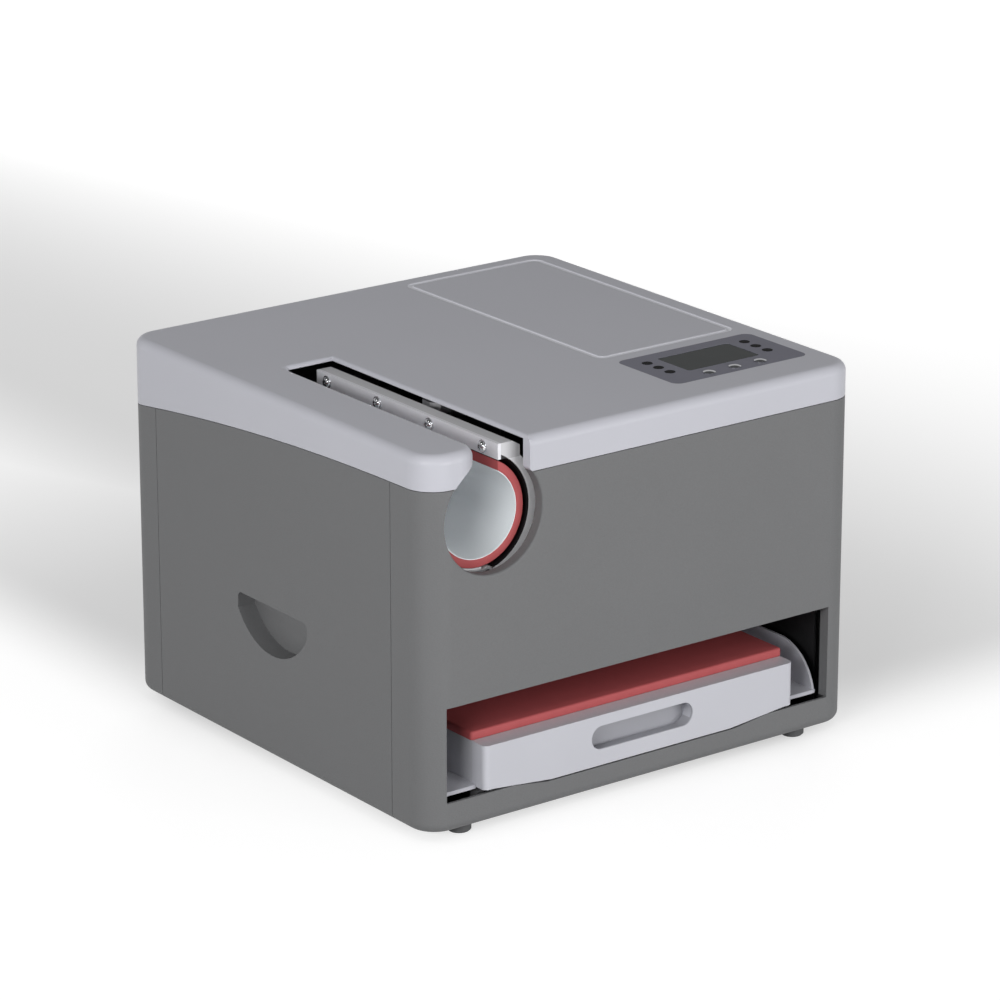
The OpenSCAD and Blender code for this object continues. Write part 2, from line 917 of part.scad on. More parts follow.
// Side plate of the frame on the right, with a window for the grip's pocket
module frame_side() {
    v0 = 30;
    v1 = body_d - 40;
    grip_z = foot_h + grip_top - grip_h / 2;
    difference() {
        union() {
            block(frame_x, frame_x + frame_t, v0, v1, pan_top, bridge_z);
            block(frame_x - 16, frame_x + frame_t, v0, v1, bridge_z - frame_t, bridge_z);
            block(frame_x, frame_x + 10, v0, v1, pan_top, pan_top + frame_t);
        }
        cross(frame_x - 1, frame_x + frame_t + 1)
            translate([0, grip_z]) rounded(2 * grip_half + 12, grip_h + 12, 8);
    }
}

module frame_side_right() {
    color(frame_black) frame_side();
}

module frame_side_left() {
    color(frame_black) mirror([1, 0, 0]) frame_side();
}

// Places of the guide posts
module each_post() {
    for (x = [-post_x, post_x], v = [post_v1, post_v2])
        translate([bay_x + x, at(v), 0]) children();
}

module bridge() {
    color(frame_black)
        difference() {
            level(bridge_z, bridge_top)
                difference() {
                    translate([-frame_x - frame_t, at(30)])
                        square([2 * (frame_x + frame_t), body_d - 70]);
                    for (i = [0 : 3])
                        translate([half_w - 130 + i * 26, at(platen_v)]) rotate(90)
                            stadium(120, 10);
                }
            each_post() translate([0, 0, bridge_z - 1])
                cylinder(r = post_r + 4, h = bridge_t + 2);
            post(bay_x, platen_v, press_screw_r + 5, bridge_z - 1, bridge_top + 1);
        }
}

// ---- Drawer ----

// Tray floor with side and rear walls; the side walls curve down to the front
module drawer_tray() {
    r = 46;
    hw = tray_half;
    color("#c4c5cc")
        union() {
            level(tray_z, tray_floor)
                difference() {
                    translate([bay_x - hw, at(tray_front)])
                        square([2 * hw, tray_back - tray_front]);
                    translate([bay_x - front_half - touch, at(tray_front) - 1])
                        square([2 * (front_half + touch), front_t - tray_front + 1]);
                    for (i = [-1, 1])
                        translate([bay_x + i * (hw - 18), at(tray_back - 60)]) rotate(90)
                            stadium(70, 10);
                }
            for (x = [bay_x - hw, bay_x + hw - tray_wall])
                cross(x, x + tray_wall) {
                    translate([at(tray_front + r), tray_floor])
                        square([tray_back - tray_front - r, tray_top - tray_floor]);
                    intersection() {
                        translate([at(tray_front + r), tray_top - r]) circle(r);
                        translate([at(tray_front), tray_floor])
                            square([r, tray_top - tray_floor]);
                    }
                }
            block(bay_x - hw + tray_wall, bay_x + hw - tray_wall, tray_back - tray_wall,
                tray_back, tray_floor, tray_top - 10);
        }
}

// Elevation of the drawer front, shrunk by a margin
module front_outline(m) {
    low = sill_z + 2.2 + m;
    mid = sill_z - sill_dip + 1.2 + m;
    hw = front_half - m;
    polygon([
        [bay_x - hw, tray_top - m],
        [bay_x - hw, low],
        [bay_x - sill_out - 18, low],
        [bay_x - sill_in + 4, mid],
        [bay_x + sill_in - 4, mid],
        [bay_x + sill_out + 18, low],
        [bay_x + hw, low],
        [bay_x + hw, tray_top - m]
    ]);
}

// Plan of the drawer front with round front corners
module front_plan(m) {
    r = 5 - m;
    hw = front_half - m;
    translate([bay_x - hw, at(m) + r]) square([2 * hw, front_t - m - r + (m > 0 ? 1 : 0)]);
    translate([bay_x - hw + r, at(m)]) square([2 * (hw - r), r]);
    for (s = [-1, 1])
        translate([bay_x + s * (hw - r), at(m) + r]) circle(r);
}

// Outline of the finger pocket, grown by a margin
module pocket_outline(m) {
    translate([bay_x, (sill_z + tray_top) / 2 + 0.5])
        stadium(pocket_len + 2 * m, pocket_h + 2 * m);
}

// Moulded drawer front, open at the back. The cup for the fingers is wider inside
module drawer_front() {
    w = 2.4;
    lip = 3;
    cup = front_t - 2;
    color("#c8c8d0")
        difference() {
            union() {
                difference() {
                    intersection() {
                        slab(0, front_t) front_outline(0);
                        level(sill_z - 10, tray_top) front_plan(0);
                    }
                    intersection() {
                        slab(0, front_t + 1) front_outline(w);
                        level(sill_z - 10, tray_top) front_plan(w);
                    }
                }
                slab(w / 2, front_t) pocket_outline(lip + w);
            }
            slab(-1, w + 1) pocket_outline(0);
            slab(w, cup) pocket_outline(lip);
        }
}

// Table under the pad: top plate, side walls and two ribs, open underneath
module press_table() {
    v0 = front_t;
    v1 = table_back;
    top = 7;
    w = 3;
    z = tray_top - top;
    x0 = bay_x - table_half;
    x1 = bay_x + table_half;
    color("#bcbdc3")
        union() {
            block(x0, x1, v0, v1, z, tray_top);
            block(x0, x1, v0, v0 + w, tray_floor, z);
            block(x0, x1, v1 - w, v1, tray_floor, z);
            for (x = [x0, bay_x - table_half / 3, bay_x + table_half / 3 - w, x1 - w])
                block(x, x + w, v0 + w, v1 - w, tray_floor, z);
        }
}

module silicone_pad() {
    w = 2 * (table_half + pad_over);
    d = table_back - front_t;
    color(silicone_red)
        level(tray_top, pad_top)
            translate([bay_x, at(front_t + d / 2)]) rounded(w, d, 2);
}

module guide_rods() {
    color(steel)
        for (s = [-1, 1]) rod_y(bay_x + s * rod_x, rod_z, rod_r, rod_first, rod_last);
}

module rod_supports() {
    color("#8f9195")
        for (s = [-1, 1], v = [rod_first, rod_last - rod_block])
            difference() {
                slab(v, v + rod_block)
                    translate([bay_x + s * rod_x, 0]) {
                        translate([-11, pan_top]) square([22, rod_h]);
                        intersection() {
                            translate([0, rod_z]) circle(11);
                            translate([-11, pan_top]) square([22, rod_h + rod_r + 1]);
                        }
                    }
                rod_y(bay_x + s * rod_x, rod_z, rod_r, v - 1, v + rod_block + 1);
            }
}

module slide_bearings() {
    color("#55575b")
        for (s = [-1, 1], v = [bearing_front, bearing_rear])
            difference() {
                slab(v, v + bearing_len)
                    translate([bay_x + s * rod_x, 0])
                        polygon([[-14, tray_z], [-14, rod_z - 4], [-10, pan_top + 0.6],
                            [10, pan_top + 0.6], [14, rod_z - 4], [14, tray_z]]);
                rod_y(bay_x + s * rod_x, rod_z, rod_r + fit, v - 1, v + bearing_len + 1);
            }
}

// ---- Flat press ----

// Plan of the platen stack, shrunk by a margin
module platen_plan(m) {
    translate([bay_x, at(platen_v)])
        rounded(2 * (platen_half - m), platen_back - platen_front - 2 * m, 4);
}

module heat_platen() {
    color("#9c9da2") level(platen_z, platen_top) platen_plan(0);
}

module platen_insulation() {
    color("#d8d2c2")
        level(platen_top, insulation_top)
            difference() {
                platen_plan(3);
                translate([bay_x, at(platen_v)]) circle(press_screw_r + 4);
            }
}

// Cover plate with a folded rim and stiffening beads over the insulation
module platen_cover() {
    color(steel)
        difference() {
            union() {
                level(insulation_top, insulation_top + 2) platen_plan(1);
                level(insulation_top + 2, press_top)
                    difference() {
                        platen_plan(1);
                        platen_plan(4);
                    }
                for (x = [-post_x, post_x])
                    block(bay_x + x - 12, bay_x + x + 12, platen_front + 4, platen_back - 4,
                        insulation_top + 2, press_top);
                block(bay_x - post_x + 12, bay_x + post_x - 12, platen_v - 22, platen_v + 22,
                    insulation_top + 2, press_top);
            }
            post(bay_x, platen_v, press_screw_r + 4, insulation_top - 1, press_top + 1);
        }
}

module guide_posts() {
    color(steel)
        each_post() {
            translate([0, 0, press_top]) cylinder(r = post_r + 4, h = 4);
            translate([0, 0, press_top + 4]) cylinder(r = post_r, h = post_top - press_top - 4);
        }
}

module guide_bushes() {
    color("#b08d4a")
        each_post()
            rotate_extrude()
                translate([post_r + fit, 0])
                    polygon([
                        [0, bridge_z - bush_low], [4 - 2 * fit, bridge_z - bush_low],
                        [4 - 2 * fit, bridge_top], [9, bridge_top], [9, bridge_top + 3],
                        [3.5, bridge_top + 3], [3.5, bridge_top + bush_high],
                        [0, bridge_top + bush_high]
                    ]);
}

module press_nut() {
    color("#b08d4a")
        difference() {
            union() {
                translate([bay_x - 17, at(platen_v) - 17, press_top]) cube([34, 34, 6]);
                post(bay_x, platen_v, 12, press_top + 6, press_top + nut_h);
            }
            post(bay_x, platen_v, press_screw_r + fit, press_top - 1, press_top + nut_h + 1);
        }
}

module press_screw() {
    color(steel)
        union() {
            post(bay_x, platen_v, press_screw_r, platen_top + 2, bridge_top + 12);
            post(bay_x, platen_v, press_screw_r + 4, bridge_z - 5, bridge_z + 3);
        }
}

// Gearbox on four short legs with the motor on top
module press_gearmotor() {
    x = bay_x;
    z = bridge_top + 14;
    color("#4a4c50")
        union() {
            for (i = [-1, 1], j = [-1, 1])
                post(x + i * 20, platen_v + j * 20, 4, bridge_top, z);
            difference() {
                level(z, z + 30) translate([x, at(platen_v)]) rounded(52, 52, 4);
                post(x, platen_v, press_screw_r + 2, z - 1, z + 2);
            }
            post(x, platen_v, 19, z + 30, z + 72);
            post(x, platen_v, 6, z + 72, z + 75);
        }
}

// ---- Round station ----

// Flat outline placed at the bore's axis and carried along the depth
module along_bore(v0, v1) {
    slab(v0, v1) translate([bore_x, bore_z]) children();
}

// Ring between two radii with the handle gap cut out of its top
module open_ring(ri, ro) {
    difference() {
        circle(ro);
        circle(ri);
        translate([-split_half, 0]) square([2 * split_half, ro + 1]);
    }
}

// Sector from angle a to angle b, reaching past radius r; under half a turn
module sector(a, b, r) {
    m = (a + b) / 2;
    k = 2 * r;
    polygon([[0, 0], k * [cos(a), sin(a)], k * [cos(m), sin(m)], k * [cos(b), sin(b)]]);
}

module heater_liner() {
    color("#dfe3e6") along_bore(band_front, band_back) open_ring(bore_r, bore_r + liner_t);
}

module heater_band() {
    color(silicone_red) along_bore(band_front, band_back) open_ring(band_ri, band_ro);
}

// Knuckle outline at the hinge with its arm towards one half of the clamp
module knuckle(side) {
    rotate(pin_angle)
        translate([hinge_r, 0]) {
            circle(knuckle_r);
            if (side > 0) translate([-0.5, 0]) square([4.5, 8]);
            else translate([-4.5, -8]) square([4.5, 8]);
        }
}

// Stretches of the hinge that belong to one half: every second one
module hinge_stretches(first) {
    p = band_len / knuckle_n;
    for (i = [first : 2 : knuckle_n - 1])
        along_bore(band_front + i * p + 0.2, band_front + (i + 1) * p - 0.2) children();
}

// The hole for the pin
module pin_hole(gap) {
    rod_y(bore_x + pin_dx, bore_z + pin_dz, pin_r + gap, band_front - 1, band_back + 1);
}

// Fixed half: a cradle round the left of the band with its head beside the handle gap
module jaw_fixed() {
    gap = knuckle_r + 1.2;
    end = pin_angle - 2 * asin(gap / hinge_r / 2);
    color(alloy)
        difference() {
            union() {
                along_bore(band_front, band_back)
                    difference() {
                        union() {
                            difference() {
                                circle(cradle_ro);
                                translate([-split_half - 3, 0])
                                    square([cradle_ro * 2, cradle_ro + 1]);
                                sector(end, end + 100, cradle_ro);
                                translate([0, -20]) square([cradle_ro + 1, 21]);
                            }
                            polygon([
                                [-split_half - 3, head_bot], [-split_half - 3, head_top],
                                [-split_half - 14, head_top], [-split_half - 21, head_top - 5],
                                [-split_half - 19, head_bot - 8], [-split_half - 8, head_bot - 8]
                            ]);
                        }
                        circle(cradle_ri);
                    }
                hinge_stretches(0) knuckle(-1);
            }
            pin_hole(0.02);
        }
}

// Moving half in its open position: a wider half ring with the clamp head on top
module jaw_moving() {
    gap = knuckle_r + 1.2;
    start = pin_angle + 2 * asin(gap / hinge_r / 2);
    face = split_half + clip_t;
    color("#c3c4c8")
        difference() {
            union() {
                along_bore(band_front, band_back)
                    difference() {
                        union() {
                            intersection() {
                                circle(jaw_ro);
                                sector(start, 52, jaw_ro);
                            }
                            polygon([
                                [face, head_bot], [face, head_top], [face + 11, head_top],
                                [head_right, head_top - 4.3], [head_right, head_bot - 6],
                                [head_right - 9, head_bot - 6]
                            ]);
                        }
                        intersection() {
                            circle(jaw_ri);
                            translate([0, -jaw_ro]) square([jaw_ro, jaw_ro + head_bot]);
                        }
                    }
                hinge_stretches(1) knuckle(1);
            }
            pin_hole(fit);
            for (i = [0 : clip_n - 1])
                rod_x_axis(band_front + 20 + i * clip_pitch, bore_z + head_bot + 6, 2.5 + play,
                    bore_x + face - 1, bore_x + face + 10);
            level(bore_z + head_top - 4.8, bore_z + head_top + 1)
                translate([bore_x + head_right, at(drive_v)])
                    polygon([[1, -15], [1, 15], [-7, 4], [-7, -4]]);
        }
}

module jaw_hinge_pin() {
    color(steel)
        rod_y(bore_x + pin_dx, bore_z + pin_dz, pin_r, band_front + 0.5, band_back - 0.5);
}

// Flat bar that clips the band's end tab to the moving head
module clip_bar() {
    color("#b8b9be")
        difference() {
            block(bore_x + split_half, bore_x + split_half + clip_t, band_front, band_back,
                bore_z + head_bot, bore_z + head_top);
            for (i = [0 : clip_n - 1])
                rod_x_axis(band_front + 20 + i * clip_pitch, bore_z + head_bot + 6, 2.5 + play,
                    bore_x + split_half - 1, bore_x + split_half + clip_t + 1);
        }
}

// Flanged pan-head screws through the clip bar
module clip_screws() {
    flange = 0.7;
    dome_r = clip_head_r - 1;
    sag = flange + 3;
    big = (dome_r * dome_r + sag * sag) / (2 * sag);
    color(steel)
        for (i = [0 : clip_n - 1])
            translate([bore_x + split_half, at(band_front + 20 + i * clip_pitch),
                bore_z + head_bot + 6])
                rotate([0, 90, 0])
                    union() {
                        cylinder(r = 2.5, h = clip_t + 8);
                        translate([0, 0, -flange]) cylinder(r = clip_head_r, h = flange);
                        difference() {
                            intersection() {
                                translate([0, 0, -sag]) cylinder(r = dome_r, h = sag);
                                translate([0, 0, big - sag]) sphere(big);
                            }
                            translate([0, 0, -sag - 1]) cylinder(r = 1.6, h = 2.2, $fn = 6);
                        }
                    }
}

// Two saddles that carry the fixed half over the bridge
module saddle_brackets() {
    ro = cradle_ro + fixed_gap;
    color(frame_black)
        for (v = [band_front + 42, band_back - 50]) {
            along_bore(v, v + 6)
                difference() {
                    polygon([[-ro + 6, -10], [-ro + 6, bridge_top - bore_z],
                        [-6, bridge_top - bore_z], [-6, -20]]);
                    circle(ro);
                }
            block(bore_x - ro + 6, bore_x - 6, v + 6, v + 24, bridge_top, bridge_top + 4);
        }
}

// Stop plate behind the bore
module bore_stop() {
    z0 = bridge_top;
    v0 = band_back + 0.6;
    color(frame_black)
        union() {
            slab(v0 + 4, v0 + 7)
                translate([bore_x, 0]) {
                    translate([-30, z0]) square([60, bore_z - z0]);
                    translate([0, bore_z]) circle(30);
                }
            block(bore_x - 30, bore_x + 30, v0 + 7, v0 + 27, z0, z0 + 3);
            rod_y(bore_x, bore_z, 26, v0, v0 + 4);
        }
}

// ---- Clamp drive ----

module clamp_pusher() {
    w = pusher_w / 2;
    color("#8f9195")
        difference() {
            level(drive_z - pusher_h / 2, drive_z + pusher_h / 2)
                translate([pusher_x, at(drive_v)])
                    polygon([[0, -5], [6, -w], [pusher_len, -w], [pusher_len, w], [6, w],
                        [0, 5]]);
            rod_x_axis(drive_v, drive_z, clamp_screw_r + fit, pusher_x + 7,
                pusher_x + pusher_len + 1);
        }
}

module clamp_screw() {
    color(steel)
        union() {
            rod_x_axis(drive_v, drive_z, clamp_screw_r, pusher_x + 10,
                bracket_x + bracket_t + 2);
            rod_x_axis(drive_v, drive_z, clamp_screw_r + 2, bracket_x - 4,
                bracket_x - touch);
        }
}

// Upright plate on the bridge with the shelf and cheeks that guide the pusher
module clamp_bracket() {
    z0 = drive_z - pusher_h / 2 - touch;
    shelf = pusher_x + 16;
    w = pusher_w / 2 + touch;
    color(frame_black)
        difference() {
            union() {
                block(bracket_x, bracket_x + bracket_t, drive_v - 28, drive_v + 28, bridge_top,
                    drive_z + 9);
                block(bracket_x + bracket_t, bracket_x + 26, drive_v - 28, drive_v + 28,
                    bridge_top, bridge_top + 4);
                block(shelf, bracket_x, drive_v - w - 3, drive_v + w + 3, z0 - 4, z0);
                for (v = [drive_v - w - 3, drive_v + w])
                    block(shelf, bracket_x, v, v + 3, z0, z0 + pusher_h);
                for (v = [drive_v - 28, drive_v + 24])
                    slab(v, v + 4)
                        polygon([
                            [bracket_x + bracket_t, bridge_top + 4],
                            [bracket_x + 26, bridge_top + 4],
                            [bracket_x + bracket_t, bridge_top + 60]
                        ]);
            }
            rod_x_axis(drive_v, drive_z, clamp_screw_r + fit, bracket_x - 1,
                bracket_x + bracket_t + 1);
        }
}

module clamp_gearmotor() {
    x = bracket_x + bracket_t;
    color("#4a4c50")
        difference() {
            union() {
                cross(x, x + 24)
                    translate([at(drive_v), drive_z]) rounded(26, 18, 2);
                rod_x_axis(drive_v, drive_z, 8.5, x + 24, x + 60);
                rod_x_axis(drive_v, drive_z, 3, x + 60, x + 63);
            }
            rod_x_axis(drive_v, drive_z, clamp_screw_r + 1, x - 1, x + 3);
        }
}

// ---- Power and cooling at the back ----

// Mains inlet with its flange in the recess and the three blades in its cavity
module power_inlet() {
    z = service_z - 22;
    v = body_d - service_d;
    color("#1b1c1e")
        difference() {
            union() {
                slab(v, v + 2) translate([service_x, z]) rounded(50, 24, 6);
                slab(v - 24, v) translate([service_x, z]) square([27.6, 20.6], center = true);
            }
            slab(v - 16, v + 3)
                translate([service_x, z])
                    polygon([[-12, -8], [12, -8], [12, 4], [8, 8], [-8, 8], [-12, 4]]);
        }
    color(steel)
        for (p = [[-7, -1], [7, -1], [0, 3]])
            block(service_x + p[0] - 1, service_x + p[0] + 1, v - 18, v - 2, z + p[1] - 2,
                z + p[1] + 2);
}

// Radius of the rocker about its pivot and the pivot's depth
rocker_r = 10.5;
rocker_w = 11;
rocker_v = body_d - service_d - 5.5;
rocker_z = service_z + 22;

module switch_body() {
    v = body_d - service_d;
    color("#1b1c1e")
        difference() {
            union() {
                slab(v, v + 2) translate([service_x, rocker_z]) rounded(25, 32, 2);
                slab(v - 22, v) translate([service_x, rocker_z])
                    square([21.6, 27.6], center = true);
            }
            slab(v - 17, v + 3)
                translate([service_x, rocker_z])
                    square([rocker_w + 1, 2 * rocker_r + 1.2], center = true);
        }
}

// Rocker with two pressing faces, resting with its upper half pushed in
module rocker() {
    tilt = 8;
    h = rocker_w / 2;
    color("#232427")
        translate([service_x, at(rocker_v), rocker_z])
            rotate([tilt, 0, 0])
                union() {
                    intersection() {
                        rotate([0, 90, 0]) cylinder(r = rocker_r, h = rocker_w, center = true);
                        rotate([90, 0, 90])
                            linear_extrude(height = rocker_w, center = true)
                                polygon([[-4, -11], [-4, 11], [5.6, 11], [4.6, 0],
                                    [5.6, -11]]);
                    }
                    rotate([0, 90, 0])
                        cylinder(r = 2, h = rocker_w + 0.8, center = true);
                }
}

module fan_frame() {
    v1 = fan_back;
    v0 = v1 - fan_t;
    bore = fan_w / 2 - 2.5;
    color("#2a2b2e")
        difference() {
            union() {
                slab(v0, v1)
                    translate([fan_x, fan_z])
                        difference() {
                            rounded(fan_w, fan_w, 4);
                            circle(bore);
                            for (i = [-1, 1], j = [-1, 1])
                                translate([i, j] * (fan_w / 2 - 4)) circle(2.2);
                        }
                slab(v0, v0 + 3)
                    translate([fan_x, fan_z]) {
                        circle(14);
                        for (i = [0 : 3])
                            rotate(45 + 90 * i) translate([0, -2]) square([bore + 1, 4]);
                    }
                rod_y(fan_x, fan_z, 3, v0 + 3, v0 + 12);
            }
        }
}

module fan_rotor() {
    v1 = fan_back;
    v0 = v1 - fan_t + 3 + 0.5;
    tip = fan_w / 2 - 3.5;
    color("#37393c")
        difference() {
            union() {
                rod_y(fan_x, fan_z, 14, v0, v1 - 3);
                intersection() {
                    translate([fan_x, at((v0 + v1 - 3) / 2), fan_z])
                        for (i = [0 : 6])
                            rotate([0, 360 / 7 * i, 0])
                                translate([20, 0, 0])
                                    rotate([38, 0, 0])
                                        cube([44, 1.8, 24], center = true);
                    difference() {
                        rod_y(fan_x, fan_z, tip, v0, v1 - 3);
                        rod_y(fan_x, fan_z, 12, v0 - 1, v1);
                    }
                }
            }
            rod_y(fan_x, fan_z, 3 + fit, v0 - 1, v0 + 9.5);
        }
}

// Guard of flat rings and spokes in the fan's opening
module fan_guard() {
    v1 = body_d - wall_t;
    r = fan_w / 2 - 2 - touch;
    color("#3a3b3e")
        slab(v1 + play, body_d - play)
            translate([fan_x, fan_z]) {
                for (k = [0 : 3])
                    difference() {
                        circle(r - k * 8);
                        circle(r - k * 8 - 2.2);
                    }
                for (i = [0 : 1])
                    rotate(45 + 90 * i)
                        difference() {
                            square([2 * r - 1, 2.2], center = true);
                            circle(r - 24 - 1);
                        }
                difference() {
                    circle(r - 24);
                    circle(3);
                }
            }
}

// Power board on stand-offs with its transformer, capacitor and terminals
module power_board() {
    x0 = half_w - 116;
    x1 = half_w - 24;
    z = bridge_top + 8;
    color(board_green)
        union() {
            for (x = [x0 + 5, x1 - 5], v = [175, 305])
                post(x, v, 3, bridge_top, z);
            block(x0, x1, 170, 310, z, z + 1.6);
            block(x0 + 10, x0 + 46, 185, 225, z + 1.6, z + 32);
            post(x1 - 22, 205, 11, z + 1.6, z + 30);
            block(x1 - 40, x1 - 10, 240, 262, z + 1.6, z + 17);
            block(x0 + 8, x1 - 8, 290, 302, z + 1.6, z + 13);
        }
}

// Two solid-state relays on the bridge
module heater_relays() {
    color("#d9d9d6")
        for (i = [0, 1])
            translate([half_w - 98 + i * 48, at(90), bridge_top])
                difference() {
                    union() {
                        translate([-21, -29, 0]) cube([42, 58, 4]);
                        translate([-21, -22, 4]) cube([42, 44, 20]);
                    }
                    for (s = [-1, 1])
                        translate([0, s * 25.5, -1]) cylinder(r = 2.2, h = 6);
                }
}

base_pan();
front_panel();
side_panel_left();
side_panel_right();
rear_panel();
top_cover();
panel_screws();
feet();
foot_screws();
control_plate();
display_window();
display_module();
indicator_lenses();
key_left();
key_middle();
key_right();
control_board();
frame_side_left();
frame_side_right();
bridge();
drawer_tray();
drawer_front();
press_table();
silicone_pad();
guide_rods();
rod_supports();
slide_bearings();
heat_platen();
platen_insulation();
platen_cover();
guide_posts();
guide_bushes();
press_nut();
press_screw();
press_gearmotor();
jaw_fixed();
jaw_moving();
jaw_hinge_pin();
heater_band();
heater_liner();
clip_bar();
clip_screws();
clamp_pusher();
clamp_screw();
clamp_gearmotor();
clamp_bracket();
bore_stop();
saddle_brackets();
power_inlet();
switch_body();
rocker();
fan_frame();
fan_rotor();
fan_guard();
power_board();
heater_relays();
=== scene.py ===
import math

import bmesh
import bpy
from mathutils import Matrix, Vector


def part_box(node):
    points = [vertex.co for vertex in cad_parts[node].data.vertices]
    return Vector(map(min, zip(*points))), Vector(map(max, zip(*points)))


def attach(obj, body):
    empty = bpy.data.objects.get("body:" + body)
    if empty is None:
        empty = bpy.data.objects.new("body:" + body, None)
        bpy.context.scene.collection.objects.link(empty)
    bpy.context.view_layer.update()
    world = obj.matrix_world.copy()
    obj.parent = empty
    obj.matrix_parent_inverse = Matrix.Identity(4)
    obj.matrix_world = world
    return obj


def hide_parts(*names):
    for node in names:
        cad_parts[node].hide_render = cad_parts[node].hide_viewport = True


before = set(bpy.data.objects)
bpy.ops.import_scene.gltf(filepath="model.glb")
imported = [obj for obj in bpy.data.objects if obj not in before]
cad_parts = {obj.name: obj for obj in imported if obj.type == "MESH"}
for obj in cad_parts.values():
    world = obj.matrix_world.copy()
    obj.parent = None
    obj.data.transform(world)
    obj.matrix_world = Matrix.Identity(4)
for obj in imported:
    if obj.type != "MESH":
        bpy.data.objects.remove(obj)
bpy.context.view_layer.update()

# ---------------------------------------------------------------------------
# Camera: three-quarter view from the front left, a little above the machine,
# through a long lens so that upright edges stay nearly parallel.
# ---------------------------------------------------------------------------
view_bearing = -36.80
view_height = 18.58
camera = bpy.data.objects.new("camera", bpy.data.cameras.new("camera"))
bpy.context.scene.collection.objects.link(camera)
bpy.context.scene.camera = camera
camera.data.sensor_width = 36.0
camera.data.lens = 163.67
camera.location = (-2.16132, -2.90579, 1.40755)
camera.rotation_euler = (
    math.radians(90.0 - view_height), 0.0, math.radians(view_bearing)
)

# ---------------------------------------------------------------------------
# Housing panels: front, sides and back, moulded in dark grey plastic. The mould
# is spark-eroded, so the whole outside has a fine pebbled grain.
# ---------------------------------------------------------------------------


class Field:
    """A value over a surface. Python's operators on it add the Math nodes."""

    def __init__(self, graph, socket):
        self.graph = graph
        self.socket = socket

    def maths(self, operation, first, second):
        """One Math node between two fields, or a field and a number."""
        return self.graph.node(
            "ShaderNodeMath", {"operation": operation}, {0: first, 1: second}
        )

    def __add__(self, other):
        return self.maths("ADD", self, other)

    def __radd__(self, other):
        return self.maths("ADD", other, self)

    def __sub__(self, other):
        return self.maths("SUBTRACT", self, other)

    def __rsub__(self, other):
        return self.maths("SUBTRACT", other, self)

    def __mul__(self, other):
        return self.maths("MULTIPLY", self, other)

    def __rmul__(self, other):
        return self.maths("MULTIPLY", other, self)

    def __truediv__(self, other):
        return self.maths("DIVIDE", self, other)

    def __gt__(self, other):
        return self.maths("GREATER_THAN", self, other)

    def __lt__(self, other):
        return self.maths("LESS_THAN", self, other)


class Graph:
    """A node tree with one way to add a node to it."""

    def __init__(self, tree):
        self.tree = tree

    def node(self, kind, settings=None, inputs=None, output=0):
        """Adds a node: its settings first, then the values or links of its sockets."""
        made = self.tree.nodes.new(kind)
        for name, value in (settings or {}).items():
            setattr(made, name, value)
        for key, value in (inputs or {}).items():
            for source in value if isinstance(value, list) else [value]:
                if isinstance(source, Field):
                    self.tree.links.new(source.socket, made.inputs[key])
                else:
                    made.inputs[key].default_value = source
        return Field(self, made.outputs[output])


class Finish(Graph):
    """One material whose pattern is worked out from the piece's own coordinates."""

    def __init__(self, name, **constants):
        self.material = bpy.data.materials.new(name)
        self.material.use_nodes = True
        super().__init__(self.material.node_tree)
        self.shader = self.tree.nodes["Principled BSDF"]
        for socket, value in constants.items():
            self.set(socket.replace("_", " "), value)

    def set(self, socket, value):
        """Puts a constant or a field on one of the shader's sockets."""
        if isinstance(value, Field):
            self.tree.links.new(value.socket, self.shader.inputs[socket])
        else:
            self.shader.inputs[socket].default_value = value

    def place(self, scale=(1.0, 1.0, 1.0), centre=(0.0, 0.0, 0.0)):
        """The point on the piece in metres, measured from a centre and scaled."""
        raw = self.node("ShaderNodeTexCoord", output="Object")
        shift = tuple(-c * s for c, s in zip(centre, scale))
        return self.node(
            "ShaderNodeMapping",
            inputs={"Vector": raw, "Location": shift, "Scale": scale},
        )

    def along(self, axis):
        """One coordinate of the point on the piece, in metres."""
        return self.node("ShaderNodeSeparateXYZ", inputs={0: self.place()}, output=axis)

    def noise(self, at, scale, detail):
        """Fractal noise from 0 to 1, with this many waves to a metre."""
        return self.node(
            "ShaderNodeTexNoise",
            inputs={"Vector": at, "Scale": scale, "Detail": detail},
        )

    def blend(self, amount, first, second):
        """A colour between two colours."""
        return self.node(
            "ShaderNodeMix",
            {"data_type": "RGBA"},
            {
                0: amount,
                6: first if isinstance(first, Field) else (*first, 1.0),
                7: second if isinstance(second, Field) else (*second, 1.0),
            },
            output=2,
        )

    def ramp(self, value, low, high):
        """0 where the value is under low, 1 over high, smooth between."""
        return self.node(
            "ShaderNodeMapRange",
            {"interpolation_type": "SMOOTHSTEP"},
            {"Value": value, "From Min": low, "From Max": high},
        )

    def bump(self, height, distance, strength):
        """Relief of the skin: a height from 0 to 1, over a distance in metres."""
        relief = {"Height": height, "Distance": distance, "Strength": strength}
        self.set("Normal", self.node("ShaderNodeBump", inputs=relief))

    def on(self, *pieces):
        """Puts the finish on CAD nodes, named, or on new pieces."""
        for piece in pieces:
            data = (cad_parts[piece] if isinstance(piece, str) else piece).data
            data.materials.clear()
            data.materials.append(self.material)


